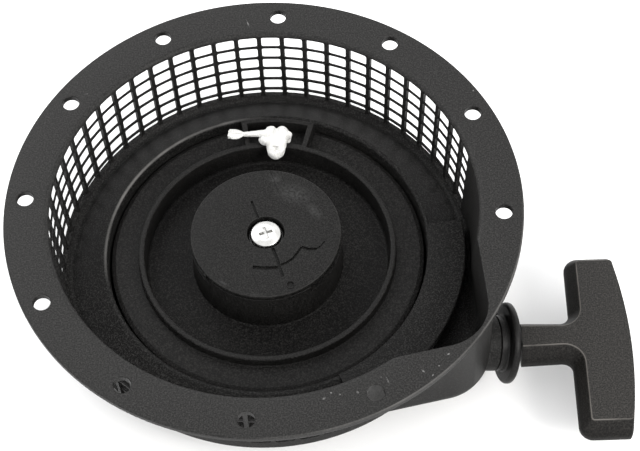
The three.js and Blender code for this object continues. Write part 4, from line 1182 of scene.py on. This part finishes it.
# The disc gets painted shade below its top face and a painted highlight on its rounded edges.
disc_paint = moulded_plastic("disc_plastic", (0.0072, 0.0070, 0.0067), 0.50, 0.11, edge_highlight=0.25,
                             depth=(0.050, 0.0540), marks=DISC_MARKS, mark_tone=0.030, softness=0.0)
# The grip gets a painted highlight on its rounded edges and painted shade on its steep sides.
grip_paint = moulded_plastic("grip_plastic", (0.0142, 0.0133, 0.0122), 0.48, 0.18, edge_highlight=0.9, sides=0.55)
# The guide gets a painted highlight on its rounded edges.
guide_paint = moulded_plastic("guide_plastic", (0.0048, 0.0046, 0.0045), 0.40, 0.13, edge_highlight=0.2)
rope_paint = nylon_rope("white_nylon")
zinc_paint = rolled_steel("zinc_plate", 0.62, 0.30, 0.02)
steel_paint = rolled_steel("bright_steel", 0.30, 0.34)
black_steel = rolled_steel("blackened_steel", 0.07, 0.42)
brass_paint = rolled_steel("brass_turned", 0.55, 0.32, 0.22)

finish_mesh("bell_shell", make_housing(), shell_paint, "housing", ["housing"])
finish_mesh("guide_bush", make_guide(), guide_paint, "housing", ["rope_guide"], 40)
finish_mesh("reel_moulding", make_reel(), reel_paint, "reel", ["reel"])
finish_mesh("friction_disc", make_disc(), disc_paint, "friction_plate", ["friction_plate"])
for number, angle in enumerate(PAWL_ANGLES, 1):
    finish_mesh(f"pawl_arm_{number}", make_pawl(angle), steel_paint, f"pawl_{number}",
                [f"pawl_{number}"])
finish_mesh("screw_zinc", make_screw(), zinc_paint, "housing", ["centre_screw"])
finish_mesh("washer_flat", make_washer(), black_steel, "housing", ["screw_washer"])
finish_mesh("t_handle", make_handle(), grip_paint, "handle", ["handle"], 40)
finish_mesh("grip_plug", make_plug(), grip_paint, "handle", ["handle_plug"])
finish_mesh("rope_coil", make_coil(), rope_paint, "reel", ["rope_winding"], 60)
finish_mesh("rope_knot", make_knot(), rope_paint, "reel", ["reel_knot"], 60)
finish_mesh("grip_knot", make_handle_knot(), rope_paint, "handle", ["handle_knot"], 60)

run = finish_mesh("rope_free_run", tube(rope_route(), ROPE_R, 18, 0.12), rope_paint, None, [], 60)
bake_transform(run)
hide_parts("rope_run")

DRESSED = {
    brass_paint: ["post_insert"],
    steel_paint: ["spring_cover", "power_spring", "pawl_pin_1", "pawl_pin_2", "pawl_spring_1",
                  "pawl_spring_2", "friction_spring", "friction_washer"],
    zinc_paint: ["cover_screw_1", "cover_screw_2", "cover_screw_3"],
}
for paint, nodes in DRESSED.items():
    for node in nodes:
        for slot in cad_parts[node].material_slots:
            slot.material = paint

corners = [(FLOOR_HALF * x, FLOOR_HALF * y, 0) for x, y in ((-1, -1), (1, -1), (1, 1), (-1, 1))]
floor_mesh = new_mesh(corners, [[0, 1, 2, 3]])
floor = finish_mesh("floor", floor_mesh, paper_floor("floor_paper"), None, None)
floor.location.z = -0.0002
